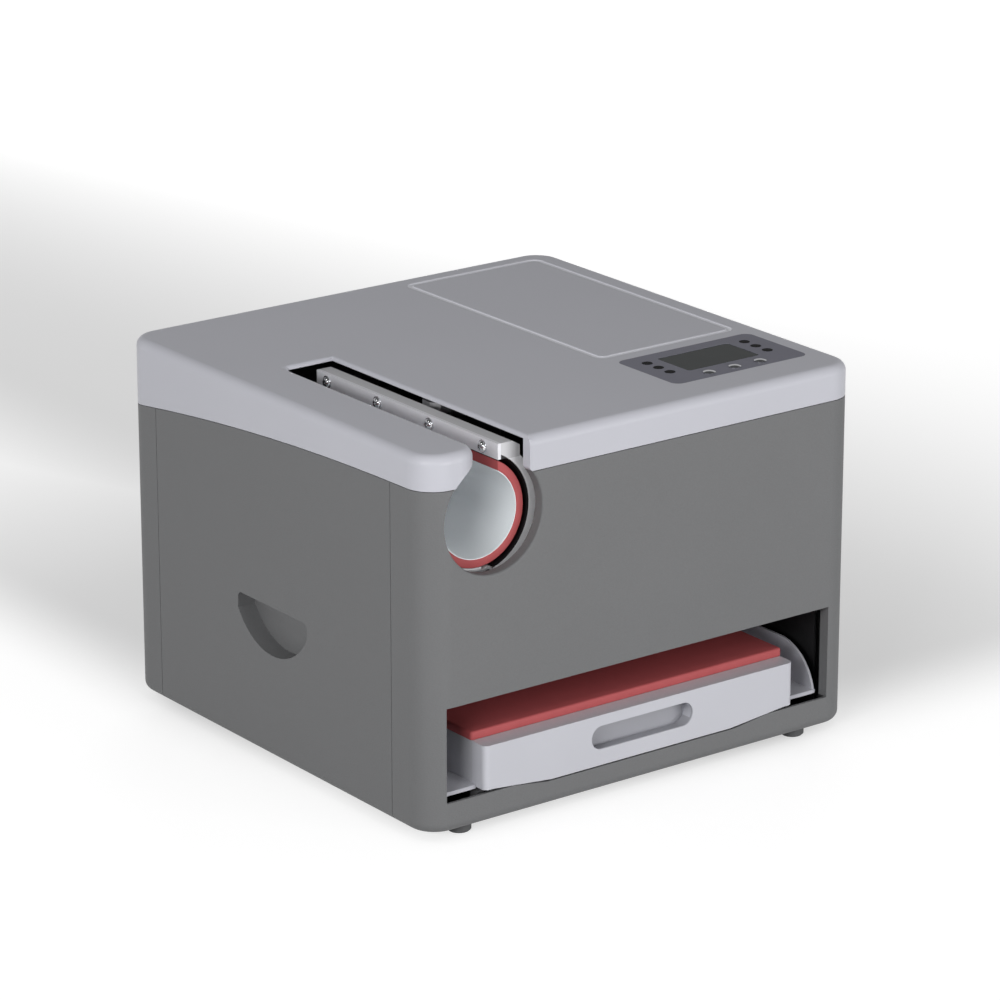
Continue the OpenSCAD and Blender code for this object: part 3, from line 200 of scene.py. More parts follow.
shell = Finish("grained_dark_shell", Specular_IOR_Level=0.4)
point = shell.place()
pebble = shell.node(
    "ShaderNodeTexVoronoi",
    {"feature": "SMOOTH_F1"},
    {"Vector": shell.place(scale=(1.0, 1.0, 1.7)), "Scale": 620.0},
)
drift = shell.noise(point, scale=9.0, detail=3.0)
speck = shell.noise(point, scale=900.0, detail=1.0)
shell.set(
    "Base Color",
    shell.blend(
        drift * 0.5 + speck * 0.5, (0.138, 0.140, 0.143), (0.176, 0.178, 0.182)
    ),
)
shell.set("Roughness", 0.50 + drift * 0.10 + pebble * 0.06)
shell.bump(pebble + speck * 0.35, distance=0.00022, strength=0.55)
shell.on("front_panel", "side_panel_left", "side_panel_right", "rear_panel")

# ---------------------------------------------------------------------------
# Top cover: one light grey moulding with the slot over the tumbler station. Its
# mould is polished, which gives a satin skin with a slight orange peel. The groove
# round the bare panel is painted paler, a painted highlight where its walls catch
# light.
# ---------------------------------------------------------------------------
cover = Finish("satin_light_cover", Specular_IOR_Level=0.35)
point = cover.place()
peel = cover.noise(point, scale=420.0, detail=2.0)
drift = cover.noise(point, scale=7.0, detail=2.0)
colour = cover.blend(drift, (0.535, 0.538, 0.588), (0.573, 0.576, 0.627))
plate_low, plate_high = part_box("control_plate")
groove_top = plate_high.z - 0.00035
groove_floor = plate_high.z - 0.0016
panel_left = plate_low.x - 0.014
panel_front = plate_high.y + 0.006
across, deep, up = cover.along(0), cover.along(1), cover.along(2)
# Painted highlight: the groove just below the top face is painted paler than the cover.
painted_groove_highlight = (up < groove_top) * (up > groove_floor)
painted_groove_highlight = painted_groove_highlight * (across > panel_left) * (deep > panel_front)
cover.set("Base Color", cover.blend(painted_groove_highlight, colour, (0.840, 0.845, 0.900)))
cover.set("Roughness", 0.36 + peel * 0.06 + drift * 0.05)
cover.bump(peel, distance=0.00012, strength=0.35)
cover.on("top_cover")

# ---------------------------------------------------------------------------
# Base pan and inner frame: folded steel sheet in black powder coat, which has a
# fine leathery orange peel.
# ---------------------------------------------------------------------------
powder = Finish("black_powder_coat", Specular_IOR_Level=0.45)
point = powder.place()
orange_peel = powder.noise(point, scale=700.0, detail=2.0)
dust = powder.noise(point, scale=35.0, detail=4.0)
powder.set(
    "Base Color", powder.blend(dust, (0.010, 0.010, 0.011), (0.022, 0.022, 0.024))
)
powder.set("Roughness", 0.42 + orange_peel * 0.25)
powder.bump(orange_peel, distance=0.0003, strength=0.5)
powder.on(
    "base_pan", "frame_side_left", "frame_side_right", "bridge", "saddle_brackets",
    "bore_stop", "clamp_bracket",
)

# ---------------------------------------------------------------------------
# Feet: turned rubber pads held by a screw from below. The rubber is dull and
# slightly dusty.
# ---------------------------------------------------------------------------
rubber = Finish("foot_rubber", Specular_IOR_Level=0.3)
grit = rubber.noise(rubber.place(), scale=300.0, detail=4.0)
rubber.set(
    "Base Color", rubber.blend(grit, (0.085, 0.087, 0.089), (0.125, 0.127, 0.130))
)
rubber.set("Roughness", 0.72 + grit * 0.15)
rubber.bump(grit, distance=0.0002, strength=0.4)
rubber.on("feet")

# ---------------------------------------------------------------------------
# Screws: pan heads with a cross recess, zinc-plated and polished. Four hold the
# clip bar, eight hold the panels from below and one goes through each foot.
# ---------------------------------------------------------------------------


class Recipe(Graph):
    """A Geometry Nodes tree with named inputs, run on a piece and made a plain mesh."""

    KINDS = {float: "NodeSocketFloat", int: "NodeSocketInt", tuple: "NodeSocketVector"}

    def __init__(self, name, **inputs):
        super().__init__(bpy.data.node_groups.new(name, "GeometryNodeTree"))
        self.inputs = {}
        kinds = {"Geometry": "NodeSocketGeometry"}
        for key, kind in inputs.items():
            kinds[key.replace("_", " ")] = self.KINDS[kind]
        kinds["Material"] = "NodeSocketMaterial"
        for label, kind in kinds.items():
            entry = self.tree.interface.new_socket(
                label, in_out="INPUT", socket_type=kind
            )
            self.inputs[label] = entry.identifier
        self.tree.interface.new_socket(
            "Geometry", in_out="OUTPUT", socket_type="NodeSocketGeometry"
        )
        self.source = self.tree.nodes.new("NodeGroupInput")

    def given(self, label):
        """One of the recipe's own inputs."""
        return Field(self, self.source.outputs[label])

    def vector(self, x, y, z):
        """A vector out of three fields or numbers."""
        return self.node("ShaderNodeCombineXYZ", inputs={0: x, 1: y, 2: z})

    def finish(self, geometry):
        """Ends the tree: instances made real, material set, result sent out."""
        real = self.node("GeometryNodeRealizeInstances", inputs={0: geometry})
        painted = self.node(
            "GeometryNodeSetMaterial",
            inputs={"Geometry": real, "Material": self.given("Material")},
        )
        end = self.tree.nodes.new("NodeGroupOutput")
        self.tree.links.new(painted.socket, end.inputs[0])

    def make(self, name, points, finish, **values):
        """Runs the recipe on a set of points and keeps the outcome as a plain mesh."""
        seeds = bpy.data.meshes.new(name + "_points")
        seeds.from_pydata(points, [], [])
        piece = bpy.data.objects.new(name, seeds)
        bpy.context.scene.collection.objects.link(piece)
        recipe = piece.modifiers.new("recipe", "NODES")
        recipe.node_group = self.tree
        recipe[self.inputs["Material"]] = finish.material
        for key, value in values.items():
            recipe[self.inputs[key.replace("_", " ")]] = value
        graph = bpy.context.evaluated_depsgraph_get()
        solid = bpy.data.meshes.new_from_object(piece.evaluated_get(graph))
        piece.modifiers.clear()
        piece.data = solid
        solid.name = name
        solid.shade_smooth()
        solid.set_sharp_from_angle(angle=math.radians(32.0))
        return piece


screws = Recipe(
    "pan_head_screws", Turn=tuple, Flange_Radius=float, Flange_Height=float,
    Head_Radius=float, Head_Height=float, Recess_Width=float, Shank_Radius=float,
    Shank_Length=float,
)
flange_radius = screws.given("Flange Radius")
flange_height = screws.given("Flange Height")
head_radius = screws.given("Head Radius")
head_height = screws.given("Head Height")
recess_width = screws.given("Recess Width")
ball = screws.node(
    "GeometryNodeMeshUVSphere", inputs={"Segments": 32, "Rings": 16, "Radius": 1.0}
)
rise = head_height + flange_height * 0.1
dome = screws.node(
    "GeometryNodeTransform",
    inputs={
        "Geometry": ball,
        "Translation": screws.vector(0.0, 0.0, flange_height * 0.9),
        "Scale": screws.vector(head_radius, head_radius, rise),
    },
)
washer = screws.node(
    "GeometryNodeTransform",
    inputs={
        "Geometry": screws.node(
            "GeometryNodeMeshCylinder",
            {"fill_type": "NGON"},
            {"Vertices": 40, "Radius": flange_radius, "Depth": flange_height},
        ),
        "Translation": screws.vector(0.0, 0.0, flange_height * 0.5),
    },
)
shank_radius = screws.given("Shank Radius")
shank_length = screws.given("Shank Length")
shank_middle = shank_length * -0.5 + flange_height * 0.5
shank = screws.node(
    "GeometryNodeTransform",
    inputs={
        "Geometry": screws.node(
            "GeometryNodeMeshCylinder",
            {"fill_type": "NGON"},
            {"Vertices": 24, "Radius": shank_radius, "Depth": shank_length},
        ),
        "Translation": screws.vector(0.0, 0.0, shank_middle),
    },
)
block = screws.vector(head_radius * 4, head_radius * 4, head_height * 4)
below = screws.node(
    "GeometryNodeTransform",
    inputs={
        "Geometry": screws.node("GeometryNodeMeshCube", inputs={"Size": block}),
        "Translation": screws.vector(0.0, 0.0, flange_height * 0.5 - head_height * 2),
    },
)
cap = screws.node(
    "GeometryNodeMeshBoolean", {"operation": "DIFFERENCE"}, {0: dome, 1: below}
)
whole = screws.node(
    "GeometryNodeMeshBoolean", {"operation": "UNION"}, {1: [cap, washer, shank]}
)
cutter = screws.vector(recess_width * 3.4, recess_width, head_height * 1.3)
driven = 0.35
slots = [
    screws.node(
        "GeometryNodeTransform",
        inputs={
            "Geometry": screws.node("GeometryNodeMeshCube", inputs={"Size": cutter}),
            "Translation": screws.vector(0.0, 0.0, flange_height + head_height),
            "Rotation": (0.0, 0.0, quarter + driven),
        },
    )
    for quarter in (0.0, math.pi / 2)
]
crossed = screws.node(
    "GeometryNodeMeshBoolean", {"operation": "DIFFERENCE"}, {0: whole, 1: slots}
)
screws.finish(
    screws.node(
        "GeometryNodeInstanceOnPoints",
        inputs={
            "Points": screws.given("Geometry"),
            "Instance": crossed,
            "Rotation": screws.given("Turn"),
        },
    )
)

zinc = Finish("plated_screw", Metallic=1.0)
plating = zinc.noise(zinc.place(), scale=400.0, detail=3.0)
zinc.set("Base Color", zinc.blend(plating, (0.66, 0.67, 0.69), (0.80, 0.81, 0.83)))
zinc.set("Roughness", 0.12 + plating * 0.12)

low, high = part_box("clip_screws")
flange_size = 0.0056
flange_thick = 0.0007
dome_height = 0.0030
head = flange_thick + dome_height
count = 4
span = high.y - low.y - 2 * flange_size
rows = [low.y + flange_size + i * span / (count - 1) for i in range(count)]
clip_heads = screws.make(
    "clip_pan_heads",
    [(low.x + head, y, (low.z + high.z) / 2) for y in rows],
    zinc,
    Turn=(0.0, -math.pi / 2, 0.0),
    Flange_Radius=flange_size, Flange_Height=flange_thick, Head_Radius=0.0046,
    Head_Height=dome_height, Recess_Width=0.0011, Shank_Radius=0.0025,
    Shank_Length=high.x - low.x - head + flange_thick / 2,
)
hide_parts("clip_screws")
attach(clip_heads, "jaw")

low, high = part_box("panel_screws")
flange_size = 0.0040
flange_thick = 0.0006
dome_height = 0.0014
head = flange_thick + dome_height
margin = 0.024
side_x, side_y = high.x - flange_size + margin, high.y - flange_size + margin
signs = [(i, j) for i in (-1, 1) for j in (-1, 1)]
spots = [(i * side_x / 3, j * (side_y - margin)) for i, j in signs]
spots += [(i * (side_x - margin), j * side_y / 3) for i, j in signs]
panel_heads = screws.make(
    "panel_pan_heads",
    [(x, y, low.z + head) for x, y in spots],
    zinc,
    Turn=(math.pi, 0.0, 0.0),
    Flange_Radius=flange_size, Flange_Height=flange_thick, Head_Radius=0.0037,
    Head_Height=dome_height, Recess_Width=0.0009, Shank_Radius=0.0020,
    Shank_Length=high.z - low.z - head + flange_thick / 2,
)
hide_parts("panel_screws")
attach(panel_heads, "housing")

low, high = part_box("foot_screws")
dome_height = 0.0018
head = flange_thick + dome_height
foot_x, foot_y = high.x - flange_size, high.y - flange_size
foot_heads = screws.make(
    "foot_pan_heads",
    [(i * foot_x, j * foot_y, low.z + head) for i, j in signs],
    zinc,
    Turn=(math.pi, 0.0, 0.0),
    Flange_Radius=flange_size, Flange_Height=flange_thick, Head_Radius=0.0037,
    Head_Height=dome_height, Recess_Width=0.0009, Shank_Radius=0.0020,
    Shank_Length=high.z - low.z - head + flange_thick / 2,
)
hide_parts("foot_screws")
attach(foot_heads, "housing")

# ---------------------------------------------------------------------------
# Control plate: thin plastic plate with a fine matt face, dropped into its
# recess in the cover.
# ---------------------------------------------------------------------------
plate = Finish("matt_control_plate", Specular_IOR_Level=0.35)
point = plate.place()
weave = plate.noise(point, scale=1500.0, detail=1.0)
drift = plate.noise(point, scale=20.0, detail=2.0)
plate.set(
    "Base Color", plate.blend(drift, (0.178, 0.178, 0.222), (0.202, 0.202, 0.248))
)
plate.set("Roughness", 0.44 + weave * 0.14)
plate.bump(weave, distance=0.00008, strength=0.4)
plate.on("control_plate")

# ---------------------------------------------------------------------------
# Display: a smoked acrylic window bonded into its recess in the control plate, over
# a liquid-crystal module that is dark while the machine is off.
# ---------------------------------------------------------------------------
smoked = Finish("smoked_window", Specular_IOR_Level=0.04)
haze = smoked.noise(smoked.place(), scale=60.0, detail=3.0)
smoked.set(
    "Base Color", smoked.blend(haze, (0.026, 0.031, 0.031), (0.036, 0.041, 0.041))
)
smoked.set("Roughness", 0.12 + haze * 0.06)
smoked.on("display_window")

module = Finish("display_module", Specular_IOR_Level=0.4)
grain = module.noise(module.place(), scale=500.0, detail=2.0)
module.set(
    "Base Color", module.blend(grain, (0.035, 0.037, 0.037), (0.060, 0.063, 0.062))
)
module.set("Roughness", 0.45 + grain * 0.2)
module.on("display_module")

# ---------------------------------------------------------------------------
# Indicator lenses: small plugs of dark tinted acrylic, pressed into the control
# plate and flush with its face.
# ---------------------------------------------------------------------------
lens = Finish("dark_lens", Specular_IOR_Level=0.01)
tint = lens.noise(lens.place(), scale=250.0, detail=2.0)
lens.set("Base Color", lens.blend(tint, (0.003, 0.003, 0.004), (0.007, 0.007, 0.008)))
lens.set("Roughness", 0.22 + tint * 0.10)
lens.on("indicator_lenses")

# ---------------------------------------------------------------------------
# Round keys: domed caps moulded with their stems, then polished and chromed.
# Each slides in its own hole in the control plate.
# ---------------------------------------------------------------------------
chrome = Finish("key_chrome", Metallic=1.0)
smear = chrome.noise(chrome.place(), scale=180.0, detail=3.0)
chrome.set("Base Color", chrome.blend(smear, (0.60, 0.61, 0.63), (0.72, 0.73, 0.75)))
chrome.set("Roughness", 0.07 + smear * 0.08)
chrome.on("key_left", "key_middle", "key_right")

# ---------------------------------------------------------------------------
# Circuit boards: glass-epoxy laminate under green solder mask, with copper
# tracks that show through as paler lines.
# ---------------------------------------------------------------------------
board = Finish("solder_mask", Specular_IOR_Level=0.5)
tracks = board.node(
    "ShaderNodeTexBrick",
    {"offset": 0.37},
    {
        "Vector": board.place(),
        "Color1": (1.0, 1.0, 1.0, 1.0),
        "Color2": (1.0, 1.0, 1.0, 1.0),
        "Mortar": (0.0, 0.0, 0.0, 1.0),
        "Scale": 1.0,
        "Mortar Size": 0.00035,
        "Brick Width": 0.0093,
        "Row Height": 0.0041,
    },
    output="Fac",
)
glass = board.noise(board.place(), scale=900.0, detail=2.0)
board.set(
    "Base Color", board.blend(tracks, (0.010, 0.090, 0.040), (0.030, 0.190, 0.090))
)
board.set("Roughness", 0.25 + glass * 0.15)
board.bump(tracks, distance=0.0001, strength=0.5)
board.on("control_board", "power_board")

# ---------------------------------------------------------------------------
# Drawer: tray and front moulded in the light grey of the cover, a touch glossier.
# The front is open at the back, and the inside of its finger pocket is painted darker,
# as painted shade.
# ---------------------------------------------------------------------------
drawer = Finish("satin_light_drawer", Specular_IOR_Level=0.4)
point = drawer.place()
peel = drawer.noise(point, scale=380.0, detail=2.0)
drift = drawer.noise(point, scale=11.0, detail=2.0)
low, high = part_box("drawer_front")
middle = (low + high) / 2
pocket_lip = 0.0012
pocket_floor = 0.0160
pocket_half = 0.0535
pocket_margin = 0.004
across, deep, up = drawer.along(0), drawer.along(1), drawer.along(2)
# Painted shade: the inside of the finger pocket, behind its lip, is painted darker.
painted_pocket_shade = (deep > low.y + pocket_lip) * (deep < low.y + pocket_floor)
painted_pocket_shade = painted_pocket_shade * (across > middle.x - pocket_half) * (across < middle.x + pocket_half)
painted_pocket_shade = painted_pocket_shade * (up > low.z + pocket_margin) * (up < high.z - pocket_margin)
colour = drawer.blend(drift, (0.550, 0.554, 0.600), (0.594, 0.598, 0.645))
drawer.set("Base Color", drawer.blend(painted_pocket_shade, colour, (0.400, 0.402, 0.436)))
drawer.set("Roughness", 0.30 + peel * 0.07 + drift * 0.05)
drawer.bump(peel, distance=0.0001, strength=0.35)
drawer.on("drawer_tray", "drawer_front")

# ---------------------------------------------------------------------------
# Press table: die-cast aluminium with two ribs below, painted the same light grey.
# It stands in the tray and carries the pad.
# ---------------------------------------------------------------------------
table = Finish("painted_table", Specular_IOR_Level=0.5)
point = table.place()
cast = table.noise(point, scale=260.0, detail=4.0)
table.set("Base Color", table.blend(cast, (0.50, 0.505, 0.54), (0.56, 0.565, 0.60)))
table.set("Roughness", 0.38 + cast * 0.12)
table.bump(cast, distance=0.0002, strength=0.35)
table.on("press_table")

# ---------------------------------------------------------------------------
# Press pad: a slab of red silicone sponge bonded to the table. Its cut edges
# are rounded over and its face is a little crowned.
# ---------------------------------------------------------------------------
silicone = Finish("red_silicone", Specular_IOR_Level=0.3)
cloth = silicone.place()
threads = [
    silicone.node(
        "ShaderNodeTexWave",
        {"wave_type": "BANDS", "bands_direction": way},
        {"Vector": cloth, "Scale": 260.0, "Distortion": 0.6, "Detail": 1.0},
        output="Fac",
    )
    for way in ("X", "Y")
]
mottle = silicone.noise(cloth, scale=90.0, detail=4.0)
pore = silicone.noise(cloth, scale=700.0, detail=2.0)
silicone.set(
    "Base Color", silicone.blend(mottle, (0.410, 0.080, 0.083), (0.475, 0.100, 0.105))
)
silicone.set("Roughness", 0.55 + mottle * 0.08 + pore * 0.08)
relief = threads[0] * threads[1] + mottle * 0.3 + pore * 0.3
silicone.bump(relief, distance=0.00012, strength=0.4)

low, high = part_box("silicone_pad")
middle = (low + high) / 2
corner_radius = 0.0025
tightest_radius = 0.0008
corner_steps = 5
side_steps = 8


def pad_ring(inset, height):
    """One ring of points round the pad, drawn in by an inset, its corners round."""
    radius = max(corner_radius - inset, tightest_radius)
    reach_x = (high.x - low.x) / 2 - inset - radius
    reach_y = (high.y - low.y) / 2 - inset - radius

    def rim(corner, quarters):
        """The point where the arc of a corner has turned by so many quarters."""
        sign_x, sign_y = ((1, 1), (-1, 1), (-1, -1), (1, -1))[corner % 4]
        turn = math.pi / 2 * quarters
        return Vector(
            (
                middle.x + sign_x * reach_x + radius * math.cos(turn),
                middle.y + sign_y * reach_y + radius * math.sin(turn),
                low.z + height,
            )
        )

    ring = []
    for corner in range(4):
        for step in range(corner_steps + 1):
            ring.append(rim(corner, corner + step / corner_steps))
        start, end = ring[-1], rim(corner + 1, corner + 1)
        ring += [start.lerp(end, step / side_steps) for step in range(1, side_steps)]
    return ring


# Inset and height of each ring: the cut edge from the foot up, then the crowned face.
crown = 0.0006
flat = high.z - low.z - crown
brim = 0.0020
rise = 0.00005
layers = [(0.0012, 0.0), (0.0004, 0.0003), (0.0, 0.0011), (0.0, flat - 0.0014)]
layers += [(0.0003, flat - 0.0006), (0.0010, flat - 0.0001), (brim, flat + rise)]
layers += [
    (brim + inwards * 0.10, flat + rise + (crown - rise) * (1 - (1 - inwards) ** 3))
    for inwards in (0.1, 0.25, 0.45, 0.7, 1.0)
]
slab = bmesh.new()
rings = [[slab.verts.new(spot) for spot in pad_ring(*layer)] for layer in layers]
for lower, upper in zip(rings, rings[1:]):
    for i in range(len(lower)):
        j = (i + 1) % len(lower)
        slab.faces.new((lower[i], lower[j], upper[j], upper[i]))
slab.faces.new(reversed(rings[0]))
slab.faces.new(rings[-1])
bmesh.ops.recalc_face_normals(slab, faces=slab.faces)
pad_mesh = bpy.data.meshes.new("press_pad")
slab.to_mesh(pad_mesh)
slab.free()
pad_mesh.shade_smooth()
pad_mesh.set_sharp_from_angle(angle=math.radians(50.0))
pad = bpy.data.objects.new("press_pad", pad_mesh)
bpy.context.scene.collection.objects.link(pad)
silicone.on(pad)
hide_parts("silicone_pad")
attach(pad, "drawer")

# ---------------------------------------------------------------------------
# Heater band: an open sleeve of red silicone rubber, cured round its heating
# wire against glass cloth. Its edges are trimmed and slightly rounded.
# ---------------------------------------------------------------------------


def rounded_copy(name, node, width, finish, sharpest=0.9):
    """The CAD solid again as one closed mesh, with its sharp edges rounded over."""
    work = bmesh.new()
    work.from_mesh(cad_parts[node].data)
    bmesh.ops.remove_doubles(work, verts=work.verts, dist=1e-6)
    bmesh.ops.dissolve_limit(
        work, angle_limit=math.radians(0.5), verts=work.verts, edges=work.edges
    )
    closed = [edge for edge in work.edges if len(edge.link_faces) == 2]
    bmesh.ops.bevel(
        work,
        geom=[edge for edge in closed if edge.calc_face_angle() > sharpest],
        offset=width, segments=3, profile=0.5, affect="EDGES", clamp_overlap=True,
    )
    bmesh.ops.recalc_face_normals(work, faces=work.faces)
    mesh = bpy.data.meshes.new(name)
    work.to_mesh(mesh)
    work.free()
    mesh.shade_smooth()
    mesh.set_sharp_from_angle(angle=math.radians(40.0))
    piece = bpy.data.objects.new(name, mesh)
    bpy.context.scene.collection.objects.link(piece)
    finish.on(piece)
    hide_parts(node)
    return piece


edge_round = 0.0007
band = rounded_copy("heater_sleeve", "heater_band", edge_round, silicone)
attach(band, "housing")

# ---------------------------------------------------------------------------
# Liner: thin stainless sleeve inside the heater band, satin and very light.
# ---------------------------------------------------------------------------
liner = Finish("satin_liner", Specular_IOR_Level=0.5)
brush = liner.noise(liner.place(scale=(1.0, 0.02, 1.0)), scale=900.0, detail=3.0)
liner.set("Base Color", liner.blend(brush, (0.89, 0.93, 0.955), (0.92, 0.96, 0.98)))
liner.set("Metallic", brush * 0.08)
liner.set("Roughness", 0.34 + brush * 0.12)
liner.on("heater_liner")

# ---------------------------------------------------------------------------
# Clamp halves and clip bar: extruded aluminium, bead-blasted to a soft sheen.
# On the moving half, the face round the band is painted black as painted shade, and the
# ring below the band's top is painted paler as painted light.
# ---------------------------------------------------------------------------


def blasted_finish(name, darkest, lightest):
    """A bead-blasted metal finish, and the colour that its stains vary between."""
    made = Finish(name)
    beads = made.noise(made.place(), scale=800.0, detail=2.0)
    stain = made.noise(made.place(), scale=25.0, detail=3.0)
    made.set("Metallic", 0.16 + stain * 0.08)
    made.set("Roughness", 0.42 + beads * 0.12 + stain * 0.05)
    made.bump(beads, distance=0.0001, strength=0.5)
    return made, made.blend(stain, darkest, lightest)


alloy = (0.60, 0.60, 0.615), (0.66, 0.66, 0.675)
blasted, colour = blasted_finish("blasted_aluminium", *alloy)
blasted.set("Base Color", colour)
blasted.on("jaw_fixed")

pale_alloy = (0.79, 0.79, 0.83), (0.85, 0.85, 0.89)
anodised, colour = blasted_finish("anodised_bar", *pale_alloy)
anodised.set("Base Color", colour)
anodised.on("clip_bar")

jaw_painted_light_and_shade, colour = blasted_finish("lined_aluminium", *alloy)
low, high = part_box("heater_band")
axis_x = (low.x + high.x) / 2
outer = (high.x - low.x) / 2
painted_shade_radius = outer + 0.0054
from_axis = jaw_painted_light_and_shade.node(
    "ShaderNodeVectorMath",
    {"operation": "LENGTH"},
    {0: jaw_painted_light_and_shade.place(scale=(1.0, 0.0, 1.0), centre=(axis_x, 0.0, low.z + outer))},
    output="Value",
)
# Painted light: below the top of the band, the ring is painted paler, where the port's
# edge shades it.
colour = jaw_painted_light_and_shade.blend(jaw_painted_light_and_shade.along(2) < high.z, colour, (0.86, 0.86, 0.88))
# Painted shade: close round the band, the jaw's face is painted black.
jaw_painted_light_and_shade.set("Base Color", jaw_painted_light_and_shade.blend(from_axis < painted_shade_radius, colour, (0.012, 0.012, 0.013)))
jaw_painted_light_and_shade.on("jaw_moving")

# ---------------------------------------------------------------------------
# Screw spindles: rolled steel with several starts, so that a turn moves the
# platen or the pusher a long way. The collar bears on its plate.
# ---------------------------------------------------------------------------
ground = Finish("ground_steel", Metallic=1.0)
rings = ground.noise(ground.place(scale=(0.4, 1.0, 1.0)), scale=1400.0, detail=2.0)
ground.set("Base Color", ground.blend(rings, (0.50, 0.51, 0.52), (0.62, 0.63, 0.65)))
ground.set("Roughness", 0.22 + rings * 0.14)

spindle = Recipe(
    "threaded_spindle", Centre=tuple, Turn=tuple, Length=float, Radius=float,
    Depth=float, Lead=float, Starts=int, Collar_Radius=float, Collar_Low=float,
    Collar_High=float,
)
length = spindle.given("Length")
depth = spindle.given("Depth")
root = spindle.given("Radius") - depth
helix = spindle.node(
    "GeometryNodeCurveSpiral",
    inputs={
        "Resolution": 20,
        "Rotations": (length - depth * 4) / spindle.given("Lead"),
        "Start Radius": root,
        "End Radius": root,
        "Height": length - depth * 4,
    },
)
starts = spindle.given("Starts")
order = spindle.node("GeometryNodeInputIndex")
threads = spindle.node(
    "GeometryNodeInstanceOnPoints",
    inputs={
        "Points": spindle.node(
            "GeometryNodeMeshLine", inputs={"Count": starts, "Offset": (0.0, 0.0, 0.0)}
        ),
        "Instance": helix,
        "Rotation": spindle.vector(0.0, 0.0, order * 2 * math.pi / starts),
    },
)
ridge = spindle.node(
    "GeometryNodeCurveToMesh",
    inputs={
        "Curve": spindle.node("GeometryNodeRealizeInstances", inputs={0: threads}),
        "Profile Curve": spindle.node(
            "GeometryNodeCurvePrimitiveCircle",
            inputs={"Resolution": 4, "Radius": depth},
        ),
        "Fill Caps": True,
    },
)
ridge = spindle.node(
    "GeometryNodeTransform",
    inputs={"Geometry": ridge, "Translation": spindle.vector(0.0, 0.0, depth * 2)},
)


def turned(radius, start, end):
    """A turned length of the spindle between two heights."""
    rod = spindle.node(
        "GeometryNodeMeshCylinder",
        {"fill_type": "NGON"},
        {"Vertices": 48, "Radius": radius, "Depth": end - start},
    )
    return spindle.node(
        "GeometryNodeTransform",
        inputs={
            "Geometry": rod,
            "Translation": spindle.vector(0.0, 0.0, (start + end) * 0.5),
        },
    )


collar = turned(
    spindle.given("Collar Radius"),
    spindle.given("Collar Low"),
    spindle.given("Collar High"),
)
core = turned(root, 0.0, length)
joined = spindle.node("GeometryNodeJoinGeometry", inputs={0: [ridge, collar, core]})
spindle.finish(
    spindle.node(
        "GeometryNodeTransform",
        inputs={
            "Geometry": joined,
            "Translation": spindle.given("Centre"),
            "Rotation": spindle.given("Turn"),
        },
    )
)

low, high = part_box("press_screw")
stem = high.z - low.z
press_spindle = spindle.make(
    "press_thread", [], ground,
    Centre=((low.x + high.x) / 2, (low.y + high.y) / 2, low.z), Turn=(0.0, 0.0, 0.0),
    Length=stem, Radius=0.006, Depth=0.0009, Lead=0.010, Starts=4,
    Collar_Radius=0.010, Collar_Low=stem - 0.022, Collar_High=stem - 0.014,
)
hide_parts("press_screw")
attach(press_spindle, "press_spindle")

low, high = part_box("clamp_screw")
stem = high.x - low.x
clamp_spindle = spindle.make(
    "clamp_thread", [], ground,
    Centre=(low.x, (low.y + high.y) / 2, (low.z + high.z) / 2),
    Turn=(0.0, math.pi / 2, 0.0),
    Length=stem, Radius=0.003, Depth=0.0005, Lead=0.006, Starts=4,
    Collar_Radius=0.005, Collar_Low=stem - 0.010, Collar_High=stem - 0.0063,
)
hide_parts("clamp_screw")
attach(clamp_spindle, "clamp_spindle")

# ---------------------------------------------------------------------------
# Rods, posts and hinge pin: steel ground between centres, which leaves fine
# rings round them.
# ---------------------------------------------------------------------------
ground.on("guide_rods", "guide_posts", "jaw_hinge_pin")

# ---------------------------------------------------------------------------
# Machined aluminium: heated platen, rod supports and clamp pusher, milled with
# faint parallel tool marks.
# ---------------------------------------------------------------------------
milled = Finish("milled_aluminium", Metallic=0.9)
marks = milled.noise(milled.place(scale=(0.05, 1.0, 0.05)), scale=1100.0, detail=2.0)
milled.set("Base Color", milled.blend(marks, (0.46, 0.46, 0.47), (0.56, 0.56, 0.575)))
milled.set("Roughness", 0.30 + marks * 0.16)
milled.bump(marks, distance=0.00006, strength=0.5)
milled.on("heat_platen", "rod_supports", "clamp_pusher")

# ---------------------------------------------------------------------------
# Platen cover: folded zinc-plated sheet over the heated platen. The zinc's crystals
# show as large pale spangles.
# ---------------------------------------------------------------------------
galvanised = Finish("spangled_sheet", Metallic=0.9)
spangle = galvanised.node(
    "ShaderNodeTexVoronoi",
    {"feature": "F1"},
    {"Vector": galvanised.place(), "Scale": 120.0},
    output="Color",
)
shade = galvanised.node("ShaderNodeSeparateColor", inputs={"Color": spangle})
galvanised.set(
    "Base Color", galvanised.blend(shade, (0.42, 0.43, 0.45), (0.60, 0.61, 0.63))
)
galvanised.set("Roughness", 0.30 + shade * 0.20)
galvanised.on("platen_cover")

# ---------------------------------------------------------------------------
# Insulation: cut from pressed fibre board and held between the platen and its
# cover, with loose strands at its surface.
# ---------------------------------------------------------------------------
fibre = Finish("fibre_board", Specular_IOR_Level=0.2)
strands = fibre.noise(fibre.place(scale=(1.0, 3.0, 1.0)), scale=400.0, detail=6.0)
fibre.set("Base Color", fibre.blend(strands, (0.52, 0.48, 0.40), (0.70, 0.66, 0.56)))
fibre.set("Roughness", 0.85 + strands * 0.1)
fibre.bump(strands, distance=0.0006, strength=0.6)
fibre.on("platen_insulation")

